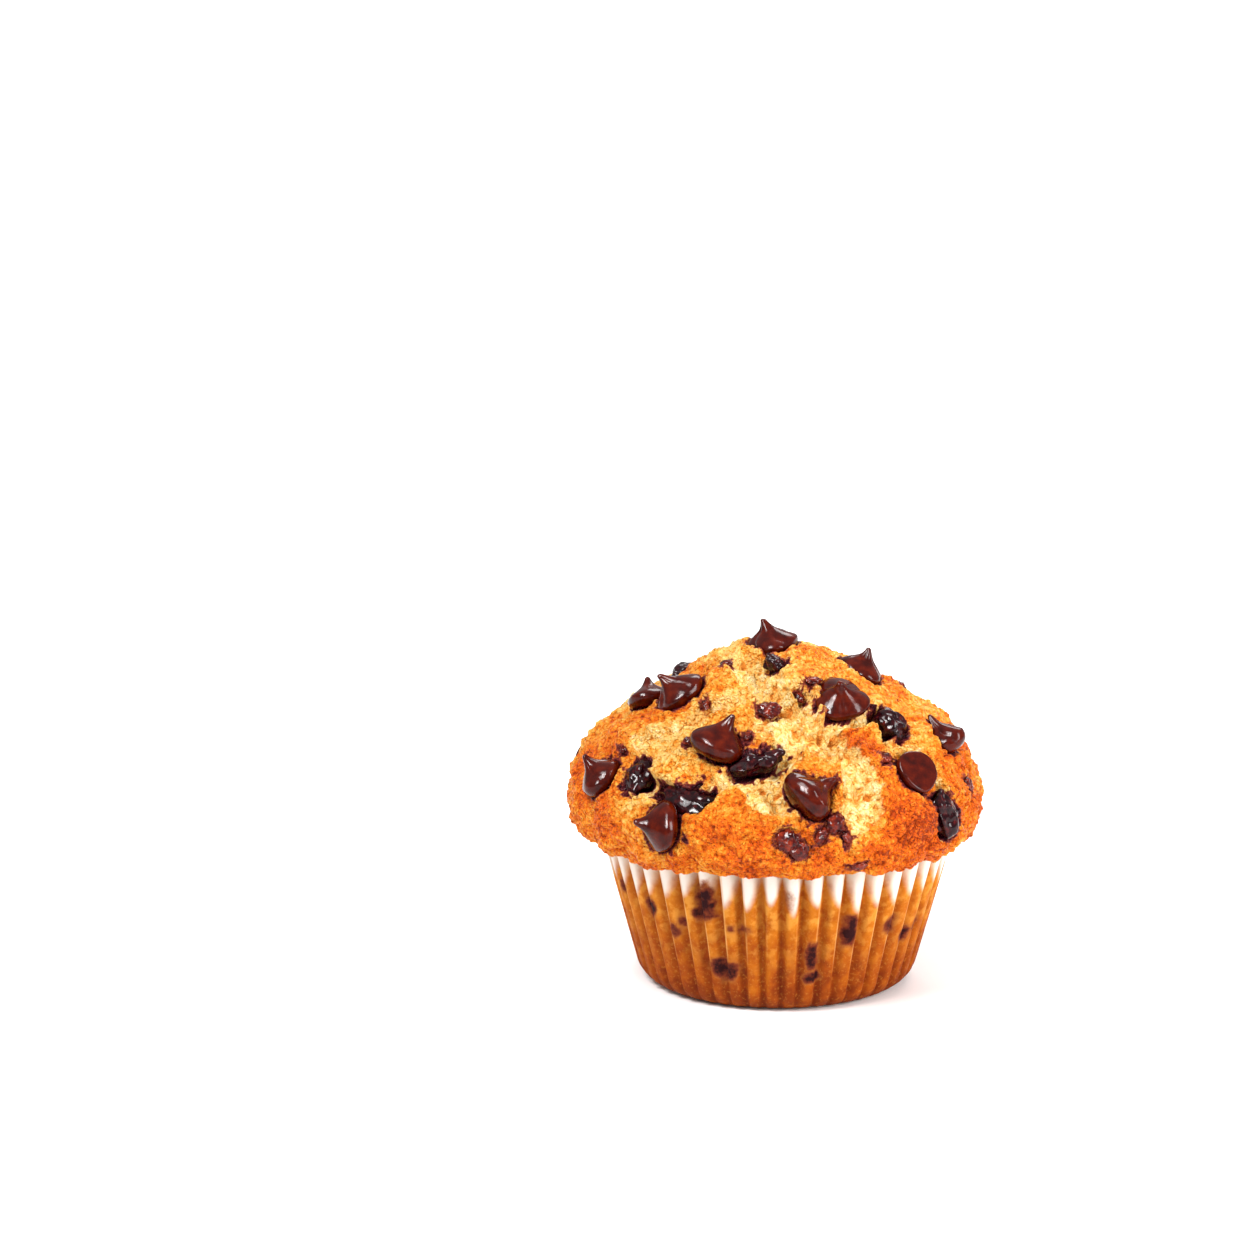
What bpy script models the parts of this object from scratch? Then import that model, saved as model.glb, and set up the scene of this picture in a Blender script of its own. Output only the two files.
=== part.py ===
"""Chocolate chip muffin, baked in a pleated paper case.

Metres, +Z up. The origin is the middle of the case's foot, on the table, and the side with
the tallest cracks faces -Y. The crumb is one turned body: a round cake that fills the case,
and a domed top that has risen, cracked and spread over the paper rim. Whole chocolate chips
and pockets of melted chocolate sit in sockets in the top, each as a solid of its own.
"""

import math
from collections import namedtuple

import bmesh
import bpy
from mathutils import Matrix, Vector, geometry, kdtree, noise

# The crumb's driving sizes.
CROWN_RADIUS = 0.0474
CROWN_EQUATOR = 0.0430
CRUMB_HEIGHT = 0.0784
LIP_HEIGHT = 0.0350

# The paper case's driving sizes. RIM_RADIUS is at the pleats' ridges.
RIM_RADIUS = 0.0414
RIM_HEIGHT = 0.0380
WALL_LEAN = math.radians(15.5)
CORNER_RADIUS = 0.0064
PLEATS = 44
PLEAT_DEPTH = 0.0021
PAPER = 0.00035

# The play between two solids that touch.
GAP = 0.00035

# How finely the turned shapes are cut.
CRUMB_SIDES = 66
CHIP_SIDES = 10
DOME_STEPS = 16
LIP_STEPS = 5

# Handles of the two curves, lip and dome, that the crown's outline is made of.
LIP_DROOP = Vector((0.0436, 0.0339))
LIP_SWELL = Vector((CROWN_RADIUS, 0.0380))
DOME_SHOULDER = Vector((CROWN_RADIUS, 0.0580))
DOME_PEAK = Vector((0.0160, 0.0759))

# Low relief of the baked top: broad lumps, torn cracks between the plates of crust, and the
# cracks' uneven borders.
BROAD_LUMP, BROAD_PITCH = 0.0012, 0.0140
SMALL_LUMP, SMALL_PITCH = 0.0008, 0.0065
TEAR_DEPTH = 0.0024
CRUST_RISE = 0.0005
TEAR_WOBBLE, WOBBLE_PITCH = 0.0016, 0.0050
TEAR_STEP = 0.0006

# Each tear: its half width, then the points it runs through, as azimuth and polar angle in
# degrees seen from the middle of the crown's widest level.
TEARS = (
    (0.0052, ((-127, 17), (-104, 31), (-88, 43), (-83, 53), (-89, 61), (-94, 70), (-91, 78))),
    (0.0048, ((-83, 53), (-70, 62), (-65, 70), (-67, 78), (-70, 86), (-74, 91))),
    (0.0034, ((-94, 66), (-103, 68), (-109, 73), (-115, 79), (-124, 79), (-137, 76))),
    (0.0030, ((-104, 31), (-119, 41), (-131, 46), (-133, 54), (-141, 62), (-146, 67))),
    (0.0032, ((-77, 34), (-75, 52), (-58, 53), (-40, 52), (-46, 62), (-41, 65), (-37, 71))),
    (0.0026, ((-37, 71), (-38, 83), (-42, 91))),
    (0.0045, ((60, 14), (72, 30), (86, 42), (92, 56), (84, 66), (88, 80))),
    (0.0036, ((86, 42), (104, 52), (118, 60), (124, 72), (116, 84))),
    (0.0034, ((72, 30), (52, 44), (38, 48), (24, 58), (20, 70))),
    (0.0032, ((150, 24), (142, 40), (150, 52), (164, 62), (170, 76))),
    (0.0030, ((84, 66), (66, 68), (56, 74), (40, 76), (34, 88))),
)

# Plates of crust that stand proud, and a side that rose less: azimuth, polar angle, spread, rise.
PLATES = (
    (-60, 61, 0.0055, 0.0016),
    (-60, 84, 0.0100, 0.0010),
    (-107, 88, 0.0090, 0.0008),
    (-146, 82, 0.0090, 0.0006),
    (-147, 64, 0.0060, 0.0006),
    (-14, 50, 0.0090, 0.0006),
    (-4, 98, 0.0130, -0.0020),
    (-50, 12, 0.0060, 0.0009),
    (172, 24, 0.0080, 0.0009),
    (52, 56, 0.0085, 0.0008),
    (105, 80, 0.0080, 0.0010),
    (150, 80, 0.0080, 0.0006),
    (128, 34, 0.0070, 0.0006),
)

# A chip's seat is where its belly's middle comes through the crust: azimuth and polar angle.
# Then come the way that its tip points, its base radius, its height for a radius of 1, how far
# its belly's middle stands above the crust, and how far the tip curls over.
Chip = namedtuple("Chip", "azimuth polar tip_azimuth tip_elevation radius height proud curl")
CHIPS = {
    "chip_top": Chip(145, 3, 180, 76, 0.0060, 1.36, -0.0004, 0.16),
    "chip_top_right": Chip(-4, 33, -6, 62, 0.0053, 1.36, 0.0002, 0.20),
    "chip_pair_left": Chip(-176, 52, 110, 60, 0.0053, 1.30, -0.0006, 0.10),
    "chip_pair_right": Chip(-156, 44, 186, 52, 0.0060, 1.40, 0.0006, 0.22),
    "chip_centre_left": Chip(-114, 60, 0, 68, 0.0062, 1.62, 0.0014, 0.12),
    "chip_upper_right": Chip(-56, 42, -78, 66, 0.0061, 1.36, 0.0008, 0.12),
    "chip_left_edge": Chip(-155, 79, 176, 48, 0.0054, 1.60, 0.0000, 0.12),
    "chip_lower_left": Chip(-125, 87, -165, 12, 0.0059, 1.60, 0.0004, 0.05),
    "chip_centre_low": Chip(-82, 76, 26, 30, 0.0062, 1.70, 0.0008, 0.12),
    "chip_right_flat": Chip(-46, 74, 128, -36, 0.0050, 1.36, -0.0006, 0.00),
    "chip_right_edge": Chip(-17, 68, 172, 56, 0.0050, 1.80, -0.0004, 0.14),
    "chip_back_shoulder": Chip(48, 70, 48, 20, 0.0058, 1.36, 0.0002, 0.12),
    "chip_back_high": Chip(76, 47, -104, -44, 0.0054, 1.40, -0.0010, 0.00),
    "chip_back_middle": Chip(92, 75, 125, 26, 0.0061, 1.40, 0.0006, 0.12),
    "chip_back_left": Chip(118, 63, 100, 22, 0.0057, 1.36, -0.0004, 0.16),
    "chip_back_low_left": Chip(127, 82, 150, 12, 0.0056, 1.40, 0.0004, 0.08),
    "chip_back_side": Chip(152, 88, -28, -10, 0.0055, 1.36, -0.0002, 0.00),
    "chip_back_low": Chip(62, 89, 20, 14, 0.0057, 1.44, 0.0004, 0.10),
}

# A pocket of melted chocolate: its seat, length, width and thickness, the turn of its length
# from level, and how far its middle stands above the crust.
Pocket = namedtuple("Pocket", "azimuth polar length width thickness turn proud")
POCKETS = {
    "melt_left": Pocket(-120, 78, 0.0150, 0.0076, 0.0060, -12, -0.0008),
    "melt_centre": Pocket(-99, 66, 0.0120, 0.0050, 0.0050, 24, -0.0006),
    "melt_round": Pocket(-140, 75, 0.0070, 0.0086, 0.0060, 0, -0.0006),
    "melt_right": Pocket(-37, 56, 0.0062, 0.0084, 0.0070, 16, 0.0003),
    "melt_right_low": Pocket(-38, 87, 0.0076, 0.0112, 0.0062, 14, 0.0000),
    "melt_top": Pocket(-98, 17, 0.0066, 0.0042, 0.0046, -36, 0.0003),
    "melt_upper_left": Pocket(152, 43, 0.0078, 0.0050, 0.0050, 10, -0.0004),
    "melt_back_shoulder": Pocket(66, 68, 0.0120, 0.0070, 0.0060, 28, -0.0006),
    "melt_back_left": Pocket(112, 80, 0.0088, 0.0076, 0.0060, 0, -0.0004),
    "melt_back_high": Pocket(102, 40, 0.0090, 0.0060, 0.0056, -30, -0.0014),
    "melt_back_low": Pocket(32, 84, 0.0082, 0.0088, 0.0060, 10, -0.0004),
}

# Small pieces of chocolate under a skin of crust, fused to the crumb: seat, length, width.
BITS = (
    (-151, 23, 0.0042, 0.0034),
    (-96, 44, 0.0068, 0.0062),
    (-75, 34, 0.0046, 0.0052),
    (-89, 90, 0.0076, 0.0076),
    (-76, 86, 0.0060, 0.0078),
    (-38, 47, 0.0050, 0.0036),
    (-63, 95, 0.0044, 0.0032),
    (-132, 49, 0.0042, 0.0040),
    (-20, 82, 0.0050, 0.0040),
    (82, 52, 0.0056, 0.0046),
    (108, 88, 0.0070, 0.0060),
    (138, 95, 0.0050, 0.0040),
    (84, 88, 0.0056, 0.0050),
    (16, 52, 0.0042, 0.0036),
    (172, 76, 0.0044, 0.0040),
)
BIT_SINK = 0.0006

# A chip's outline for a base radius of 1: foot, belly and neck. Each chip stretches it to its
# own height, and CHIP_MIDDLE is the belly's middle as a share of that height.
CHIP_FOOT = (0.86, 0.0)
CHIP_BELLY = (Vector((1.0, 0.16)), Vector((1.03, 0.50)), Vector((0.64, 0.70)), Vector((0.37, 0.90)))
CHIP_NECK = (Vector((0.37, 0.90)), Vector((0.26, 1.0)), Vector((0.18, 1.14)), Vector((0.13, 1.26)))
CHIP_TIP = (0.0, 1.36)
CHIP_MIDDLE = 0.33
CHIP_FOLD = 0.05


def new_object(name, bm, material, place=None):
    """The finished mesh as an object with one material, smooth apart from its sharp edges."""
    bmesh.ops.recalc_face_normals(bm, faces=bm.faces)
    mesh = bpy.data.meshes.new(name)
    bm.to_mesh(mesh)
    bm.free()
    mesh.materials.append(material)
    mesh.shade_smooth()
    mesh.set_sharp_from_angle(angle=math.radians(40))
    made = bpy.data.objects.new(name, mesh)
    bpy.context.scene.collection.objects.link(made)
    if place is not None:
        made.matrix_world = place
    return made


def plain_material(name, colour, roughness):
    """A Principled material of one colour."""
    made = bpy.data.materials.new(name)
    made.use_nodes = True
    shader = made.node_tree.nodes["Principled BSDF"]
    shader.inputs["Base Color"].default_value = (*colour, 1.0)
    shader.inputs["Roughness"].default_value = roughness
    shader.inputs["Metallic"].default_value = 0.0
    return made


def turned(outline, sides):
    """The surface that an outline from axis to axis, as (radius, height), makes in a full turn."""
    bm = bmesh.new()
    chain = [bm.verts.new((radius, 0.0, height)) for radius, height in outline]
    edges = [bm.edges.new(pair) for pair in zip(chain, chain[1:])]
    bmesh.ops.spin(
        bm, geom=chain + edges, cent=(0, 0, 0), axis=(0, 0, 1), angle=math.tau, steps=sides, use_merge=True
    )
    bmesh.ops.remove_doubles(bm, verts=bm.verts, dist=1e-6)
    return bm


def ridge_radius(height):
    """The case's outer radius at a pleat's ridge, on its straight wall."""
    return RIM_RADIUS - (RIM_HEIGHT - height) * math.tan(WALL_LEAN)


def case_outline():
    """The case's outer outline from foot to rim: radius, height, the normal, and pleat depth."""
    middle = ridge_radius(CORNER_RADIUS) - CORNER_RADIUS / math.cos(WALL_LEAN)
    stations = []
    for share in (0.0, 0.5, 1.0):
        angle = -math.pi / 2 + share * (math.pi / 2 - WALL_LEAN)
        across, up = math.cos(angle), math.sin(angle)
        radius = middle + CORNER_RADIUS * across
        height = CORNER_RADIUS * (1 + up)
        stations.append((radius, height, across, up, PLEAT_DEPTH * 0.45 * share))
    stations.append((RIM_RADIUS, RIM_HEIGHT, across, up, PLEAT_DEPTH))
    return stations


def paper_case(material):
    """The pleated cup: a turned shell whose wall is then pushed in between the ridges."""
    outer = case_outline()
    inner = [(r - PAPER * a, h - PAPER * u, a, u, depth) for r, h, a, u, depth in reversed(outer)]
    inner[0] = (outer[-1][0] - PAPER / math.cos(WALL_LEAN), RIM_HEIGHT, *inner[0][2:])
    stations = [(0.0, 0.0, 0, 0, 0.0), *outer, *inner, (0.0, PAPER, 0, 0, 0.0)]
    bm = bmesh.new()
    depth_of = bm.verts.layers.float.new("pleat_depth")
    chain = []
    for radius, height, _, _, depth in stations:
        chain.append(bm.verts.new((radius, 0.0, height)))
        chain[-1][depth_of] = depth
    edges = [bm.edges.new(pair) for pair in zip(chain, chain[1:])]
    corners = 4
    steps = PLEATS * corners
    bmesh.ops.spin(
        bm, geom=chain + edges, cent=(0, 0, 0), axis=(0, 0, 1), angle=math.tau, steps=steps, use_merge=True
    )
    bmesh.ops.remove_doubles(bm, verts=bm.verts, dist=1e-6)
    # A pleat has four corners: its ridge's two edges, then its valley's two. Each is shifted
    # round from the even spacing to make the ridge wide and the flanks steep.
    shifts = (0.0, 0.17, 0.02, 0.13)
    for vert in bm.verts:
        radius = math.hypot(vert.co.x, vert.co.y)
        if radius < 1e-6 or vert[depth_of] == 0.0:
            continue
        step = round(math.atan2(vert.co.y, vert.co.x) / math.tau * steps) % steps
        corner = step % corners
        azimuth = (step / corners + shifts[corner]) / PLEATS * math.tau
        if corner >= 2:
            radius -= vert[depth_of]
        vert.co.x = radius * math.cos(azimuth)
        vert.co.y = radius * math.sin(azimuth)
    return new_object("paper_case", bm, material)


def crown_curves(lip_steps, dome_steps):
    """Points (radius, height) along the lip, from the paper up to the widest level, and the dome."""
    start = Vector((ridge_radius(LIP_HEIGHT) + 0.0005, LIP_HEIGHT))
    widest = Vector((CROWN_RADIUS, CROWN_EQUATOR))
    peak = Vector((0.0, CRUMB_HEIGHT))
    lip = geometry.interpolate_bezier(start, LIP_DROOP, LIP_SWELL, widest, lip_steps)
    dome = geometry.interpolate_bezier(widest, DOME_SHOULDER, DOME_PEAK, peak, dome_steps)
    return lip + dome[1:]


def crown_seat(azimuth, polar):
    """The point of the smooth crown at these angles in degrees, and its outward normal."""
    turn, wanted = math.radians(azimuth), math.radians(polar)
    curve = crown_curves(80, 200)
    for low, high in zip(curve, curve[1:]):
        before = math.atan2(low.x, low.y - CROWN_EQUATOR)
        after = math.atan2(high.x, high.y - CROWN_EQUATOR)
        if after <= wanted <= before:
            break
    spot = low.lerp(high, (before - wanted) / (before - after))
    across, up = (high.y - low.y), (low.x - high.x)
    point = Vector((spot.x * math.cos(turn), spot.x * math.sin(turn), spot.y))
    normal = Vector((across * math.cos(turn), across * math.sin(turn), up)).normalized()
    return point, normal


def tear_points():
    """A search tree of points along every tear, and each point's half width."""
    found = []
    for half_width, path in TEARS:
        corners = [crown_seat(azimuth, polar)[0] for azimuth, polar in path]
        for start, end in zip(corners, corners[1:]):
            count = max(1, round((end - start).length / TEAR_STEP))
            found += [(start.lerp(end, i / count), half_width) for i in range(count)]
    tree = kdtree.KDTree(len(found))
    for index, (point, _) in enumerate(found):
        tree.insert(point, index)
    tree.balance()
    return tree, [half_width for _, half_width in found]


TEAR_TREE, TEAR_WIDTHS = tear_points()
PLATE_SEATS = [(crown_seat(az, polar)[0], spread, rise) for az, polar, spread, rise in PLATES]
POCKET_SEATS = [(crown_seat(p.azimuth, p.polar)[0], p.length, p.thickness) for p in POCKETS.values()]


def torn_share(point):
    """How torn the top is at a point of the smooth crown: 1 in a crack, 0 on whole crust."""
    _, index, distance = TEAR_TREE.find(point)
    distance += TEAR_WOBBLE * noise.noise(point / WOBBLE_PITCH)
    across = min(max(distance / TEAR_WIDTHS[index], 0.0), 1.0)
    return 1.0 - across * across * (3.0 - 2.0 * across)


def relief(point):
    """How far the baked top stands out from the smooth crown at one of its points."""
    torn = torn_share(point)
    height = BROAD_LUMP * noise.noise(point / BROAD_PITCH)
    height += SMALL_LUMP * noise.noise(point / SMALL_PITCH)
    height += CRUST_RISE * (1.0 - torn) - TEAR_DEPTH * torn
    for seat, spread, rise in PLATE_SEATS:
        height += rise * math.exp(-((point - seat).length / spread) ** 2)
    for seat, length, thickness in POCKET_SEATS:
        height -= 0.2 * thickness * math.exp(-((point - seat).length / (0.55 * length)) ** 2)
    # The lip's underside, next to the paper, stays smooth and clear of it.
    if point.z < CROWN_EQUATOR:
        inside = ridge_radius(LIP_HEIGHT) + 0.0006
        height *= min(max((math.hypot(point.x, point.y) - inside) / 0.0025, 0.0), 1.0)
    return height


def top_seat(azimuth, polar):
    """The point of the baked top at these angles, and the smooth crown's normal there."""
    point, normal = crown_seat(azimuth, polar)
    return point + normal * relief(point), normal


def direction(azimuth, elevation):
    """The unit vector that points this way, in degrees."""
    turn, rise = math.radians(azimuth), math.radians(elevation)
    return Vector((math.cos(rise) * math.cos(turn), math.cos(rise) * math.sin(turn), math.sin(rise)))


def crumb_body(material):
    """The cake in its case, the groove that the paper rim stands in, and the cracked top."""
    spare = PAPER + GAP
    body = [(0.0, spare)]
    for radius, height, across, up, depth in case_outline()[:-1]:
        body.append((radius - spare * across - depth, height - spare * up))
    groove_top = RIM_HEIGHT + GAP
    wall = ridge_radius(groove_top) - spare / math.cos(WALL_LEAN) - PLEAT_DEPTH
    body += [(wall, groove_top), (RIM_RADIUS + 0.0006, groove_top)]
    crown = [tuple(point) for point in crown_curves(LIP_STEPS, DOME_STEPS)]
    crown[-1] = (0.0, CRUMB_HEIGHT)
    bm = turned(body + crown, CRUMB_SIDES)
    bm.normal_update()
    bmesh.ops.recalc_face_normals(bm, faces=bm.faces)
    bm.normal_update()
    outer = RIM_RADIUS + 0.0008
    for vert in bm.verts:
        radius = math.hypot(vert.co.x, vert.co.y)
        if vert.co.z > groove_top + GAP or radius > outer:
            vert.co += vert.normal * relief(vert.co)
    return new_object("crumb", bm, material)


def chip_mesh(chip, grow=0.0):
    """A chocolate drop, its belly's middle at the origin and its tip up. grow swells it all over."""
    outline = [(0.0, 0.0), CHIP_FOOT]
    outline += [tuple(p) for p in geometry.interpolate_bezier(*CHIP_BELLY, 4)]
    outline += [tuple(p) for p in geometry.interpolate_bezier(*CHIP_NECK, 2)[1:]]
    outline.append(CHIP_TIP)
    bm = turned(outline, CHIP_SIDES)
    phase = math.radians(chip.azimuth * 3)
    for vert in bm.verts:
        round_axis = math.atan2(vert.co.y, vert.co.x)
        fold = 1.0 + CHIP_FOLD * math.cos(3 * round_axis + phase)
        vert.co.x *= fold
        vert.co.y *= fold
        vert.co.z = (vert.co.z / CHIP_TIP[1] - CHIP_MIDDLE) * chip.height
        vert.co.x += chip.curl * max(vert.co.z, 0.0) ** 2
        vert.co *= chip.radius
    bmesh.ops.recalc_face_normals(bm, faces=bm.faces)
    swell(bm, grow)
    return bm


def pocket_mesh(pocket, grow=0.0):
    """A lumpy blob of melted chocolate, its length along X and its thickness along Z."""
    bm = bmesh.new()
    bmesh.ops.create_icosphere(bm, subdivisions=2, radius=0.5)
    offset = Vector((pocket.azimuth, pocket.polar, 0.0))
    for vert in bm.verts:
        vert.co *= 1.0 + 0.22 * noise.noise(vert.co * 4.0 + offset)
    bmesh.ops.scale(bm, vec=(pocket.length, pocket.width, pocket.thickness), verts=bm.verts)
    swell(bm, grow)
    return bm


def swell(bm, distance):
    """Moves every point out along its normal."""
    bm.normal_update()
    for vert in bm.verts:
        vert.co += vert.normal * distance


def chip_place(chip):
    """The chip's place: belly at its seat, +Z towards its tip, and the curl towards the dome's foot."""
    seat, normal = top_seat(chip.azimuth, chip.polar)
    tip = direction(chip.tip_azimuth, chip.tip_elevation)
    side = tip.cross(normal if abs(tip.dot(normal)) < 0.95 else Vector((0, 1, 0))).normalized()
    return frame_at(seat + normal * chip.proud, side, tip)


def pocket_place(pocket):
    """The pocket's place: its middle at its seat, +Z out of the crust, and its length turned."""
    seat, normal = top_seat(pocket.azimuth, pocket.polar)
    level = Vector((0, 0, 1)).cross(normal).normalized()
    level.rotate(Matrix.Rotation(math.radians(pocket.turn), 3, normal))
    return frame_at(seat + normal * pocket.proud, level, normal)


def frame_at(place, along, up):
    """A placing matrix from its origin and its X and Z axes."""
    across = up.cross(along)
    turn = Matrix((along, across, up)).transposed().to_4x4()
    return Matrix.Translation(place) @ turn


def bit_object(azimuth, polar, length, width, material):
    """A small lump that lies half in the crust, to be fused to it."""
    seat, normal = top_seat(azimuth, polar)
    level = Vector((0, 0, 1)).cross(normal).normalized()
    bm = bmesh.new()
    bmesh.ops.create_icosphere(bm, subdivisions=2 if length > 0.006 else 1, radius=0.5)
    for vert in bm.verts:
        vert.co *= 1.0 + 0.25 * noise.noise(vert.co * 4.0 + Vector((azimuth, polar, 0.0)))
    bmesh.ops.scale(bm, vec=(length, width, 0.8 * width), verts=bm.verts)
    return new_object("bit", bm, material, frame_at(seat - normal * BIT_SINK, level, normal))


def combine(target, helpers, operation):
    """Applies one Boolean between the target and the helpers, then removes the helpers."""
    group = bpy.data.collections.new("helpers")
    for helper in helpers:
        group.objects.link(helper)
    boolean = target.modifiers.new(operation.lower(), "BOOLEAN")
    boolean.operation = operation
    boolean.operand_type = "COLLECTION"
    boolean.collection = group
    boolean.solver = "EXACT"
    bpy.context.view_layer.update()
    evaluated = target.evaluated_get(bpy.context.evaluated_depsgraph_get())
    joined = bpy.data.meshes.new_from_object(evaluated)
    target.modifiers.remove(boolean)
    target.data = joined
    for helper in helpers:
        bpy.data.objects.remove(helper)
    bpy.data.collections.remove(group)


def keep_largest(target):
    """Drops the scraps of crust that a cut leaves loose, and the sealed hollows of a union."""
    bm = bmesh.new()
    bm.from_mesh(target.data)
    left = set(bm.verts)
    shells = []
    while left:
        shell, edge = set(), [left.pop()]
        while edge:
            vert = edge.pop()
            shell.add(vert)
            near = {e.other_vert(vert) for e in vert.link_edges} & left
            left -= near
            edge += near
        shells.append(shell)
    shells.sort(key=len)
    loose = [vert for shell in shells[:-1] for vert in shell]
    bmesh.ops.delete(bm, geom=loose, context="VERTS")
    bm.to_mesh(target.data)
    bm.free()


def build():
    """Makes the crumb, the case, the chips and the pockets, all under one empty."""
    for leftover in list(bpy.data.objects):
        bpy.data.objects.remove(leftover)
    crust = plain_material("baked_crumb", (0.80, 0.30, 0.05), 0.75)
    paper = plain_material("greased_paper", (0.62, 0.25, 0.06), 0.55)
    chocolate = plain_material("chocolate", (0.09, 0.024, 0.014), 0.25)
    melted = plain_material("melted_chocolate", (0.035, 0.010, 0.010), 0.12)

    crumb = crumb_body(crust)
    combine(crumb, [bit_object(*bit, crust) for bit in BITS], "UNION")
    cutters = []
    pieces = []
    for name, chip in CHIPS.items():
        place = chip_place(chip)
        pieces.append(new_object(name, chip_mesh(chip), chocolate, place))
        cutters.append(new_object("socket", chip_mesh(chip, GAP), crust, place))
    for name, pocket in POCKETS.items():
        place = pocket_place(pocket)
        pieces.append(new_object(name, pocket_mesh(pocket), melted, place))
        cutters.append(new_object("socket", pocket_mesh(pocket, GAP), crust, place))
    combine(crumb, cutters, "DIFFERENCE")
    keep_largest(crumb)

    muffin = bpy.data.objects.new("muffin", None)
    bpy.context.scene.collection.objects.link(muffin)
    for piece in (crumb, paper_case(paper), *pieces):
        piece.parent = muffin


build()
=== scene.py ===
import math
from collections import namedtuple

import bmesh
import bpy
import numpy as np
from mathutils import Matrix, Vector, geometry, kdtree, noise
from mathutils.bvhtree import BVHTree


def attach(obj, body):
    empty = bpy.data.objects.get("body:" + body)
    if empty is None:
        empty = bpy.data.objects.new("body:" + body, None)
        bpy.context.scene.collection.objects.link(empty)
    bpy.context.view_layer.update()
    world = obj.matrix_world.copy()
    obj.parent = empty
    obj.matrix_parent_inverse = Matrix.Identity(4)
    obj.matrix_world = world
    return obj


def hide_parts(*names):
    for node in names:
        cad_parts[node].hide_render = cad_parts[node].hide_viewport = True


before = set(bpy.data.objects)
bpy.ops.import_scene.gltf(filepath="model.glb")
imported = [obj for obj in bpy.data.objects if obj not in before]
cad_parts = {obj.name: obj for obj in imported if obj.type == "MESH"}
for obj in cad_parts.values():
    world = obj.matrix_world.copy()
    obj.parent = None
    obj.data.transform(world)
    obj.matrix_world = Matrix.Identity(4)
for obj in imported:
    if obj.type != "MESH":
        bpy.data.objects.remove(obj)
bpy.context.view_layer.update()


# ------------------------------------------------------------
# The view. A long lens a metre away, pitched down at the muffin on a plain pale floor under a soft
# studio dome: a broad soft key high on the left, a weak fill on the right, a rim light behind, and
# two tall window panes on the left that are seen only as bright streaks in what shines.

camera_data = bpy.data.cameras.new("camera")
camera_data.lens = 134.93
camera_data.sensor_width = 36.0
camera_data.clip_start, camera_data.clip_end = 0.05, 60.0
camera = bpy.data.objects.new("camera", camera_data)
camera.location = (-0.0343318, -1.0383747, 0.31766811)
camera.rotation_euler = (math.radians(90.0 - 12.8), 0.0, 0.0)
bpy.context.scene.collection.objects.link(camera)
bpy.context.scene.camera = camera
bpy.context.scene.view_settings.view_transform = "Standard"
bpy.context.scene.view_settings.look = "None"


def add_node(tree, kind, inputs=None, **settings):
    """A shader node with its settings, and its inputs linked to sockets or set to values."""
    made = tree.nodes.new("ShaderNode" + kind)
    for key, value in settings.items():
        setattr(made, key, value)
    for key, value in (inputs or {}).items():
        if isinstance(value, bpy.types.NodeSocket):
            tree.links.new(value, made.inputs[key])
        else:
            made.inputs[key].default_value = value
    return made


def new_material(name, **sockets):
    """A Principled material: its name, its node tree and its shader, with plain socket values set."""
    made = bpy.data.materials.new(name)
    made.use_nodes = True
    shader = made.node_tree.nodes["Principled BSDF"]
    for key, value in sockets.items():
        shader.inputs[key.replace("_", " ")].default_value = value
    return made, made.node_tree, shader


def object_from(name, bm, material):
    """The finished mesh as a smooth object at the origin, with one material."""
    mesh = bpy.data.meshes.new(name)
    bm.to_mesh(mesh)
    bm.free()
    mesh.materials.append(material)
    mesh.shade_smooth()
    made = bpy.data.objects.new(name, mesh)
    bpy.context.scene.collection.objects.link(made)
    return made


floor_paint = new_material(
    "pale_floor", Roughness=0.9, Specular_IOR_Level=0.1, Base_Color=(0.95, 0.945, 0.94, 1.0)
)[0]
floor_mesh = bmesh.new()
bmesh.ops.create_grid(floor_mesh, x_segments=2, y_segments=2, size=9.0)
floor = object_from("floor", floor_mesh, floor_paint)


def add_light(name, kind, energy, place, aim, glossy_only=False, **settings):
    """A lamp at place that faces aim; a glossy-only one is a reflector card, seen only in shine."""
    data = bpy.data.lights.new(name, kind)
    data.energy = energy
    for key, value in settings.items():
        setattr(data, key, value)
    lamp = bpy.data.objects.new(name, data)
    lamp.location = place
    lamp.rotation_euler = (Vector(place) - Vector(aim)).to_track_quat("Z", "Y").to_euler()
    lamp.visible_diffuse = not glossy_only
    bpy.context.scene.collection.objects.link(lamp)


MUFFIN_MIDDLE = (0, 0, 0.05)
add_light("key", "SUN", 3.1, (-0.45, -0.50, 1.0), (0, 0, 0), angle=math.radians(26))
# Each soft box: its power, place, width and height, and whether it is seen only in shine.
for name, energy, place, width, height, glossy_only in (
    ("fill_right", 8.0, (0.72, -0.50, 0.42), 0.24, 0.50, False),
    ("rim_back", 5.0, (0.25, 0.70, 0.75), 0.60, 0.30, False),
    ("window_pane", 13.0, (-0.47, -0.62, 0.66), 0.15, 0.40, True),
    ("window_pane_right", 13.0, (-0.27, -0.74, 0.66), 0.15, 0.40, True),
):
    box = {"shape": "RECTANGLE", "size": width, "size_y": height}
    add_light(name, "AREA", energy, place, MUFFIN_MIDDLE, glossy_only, **box)

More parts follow.
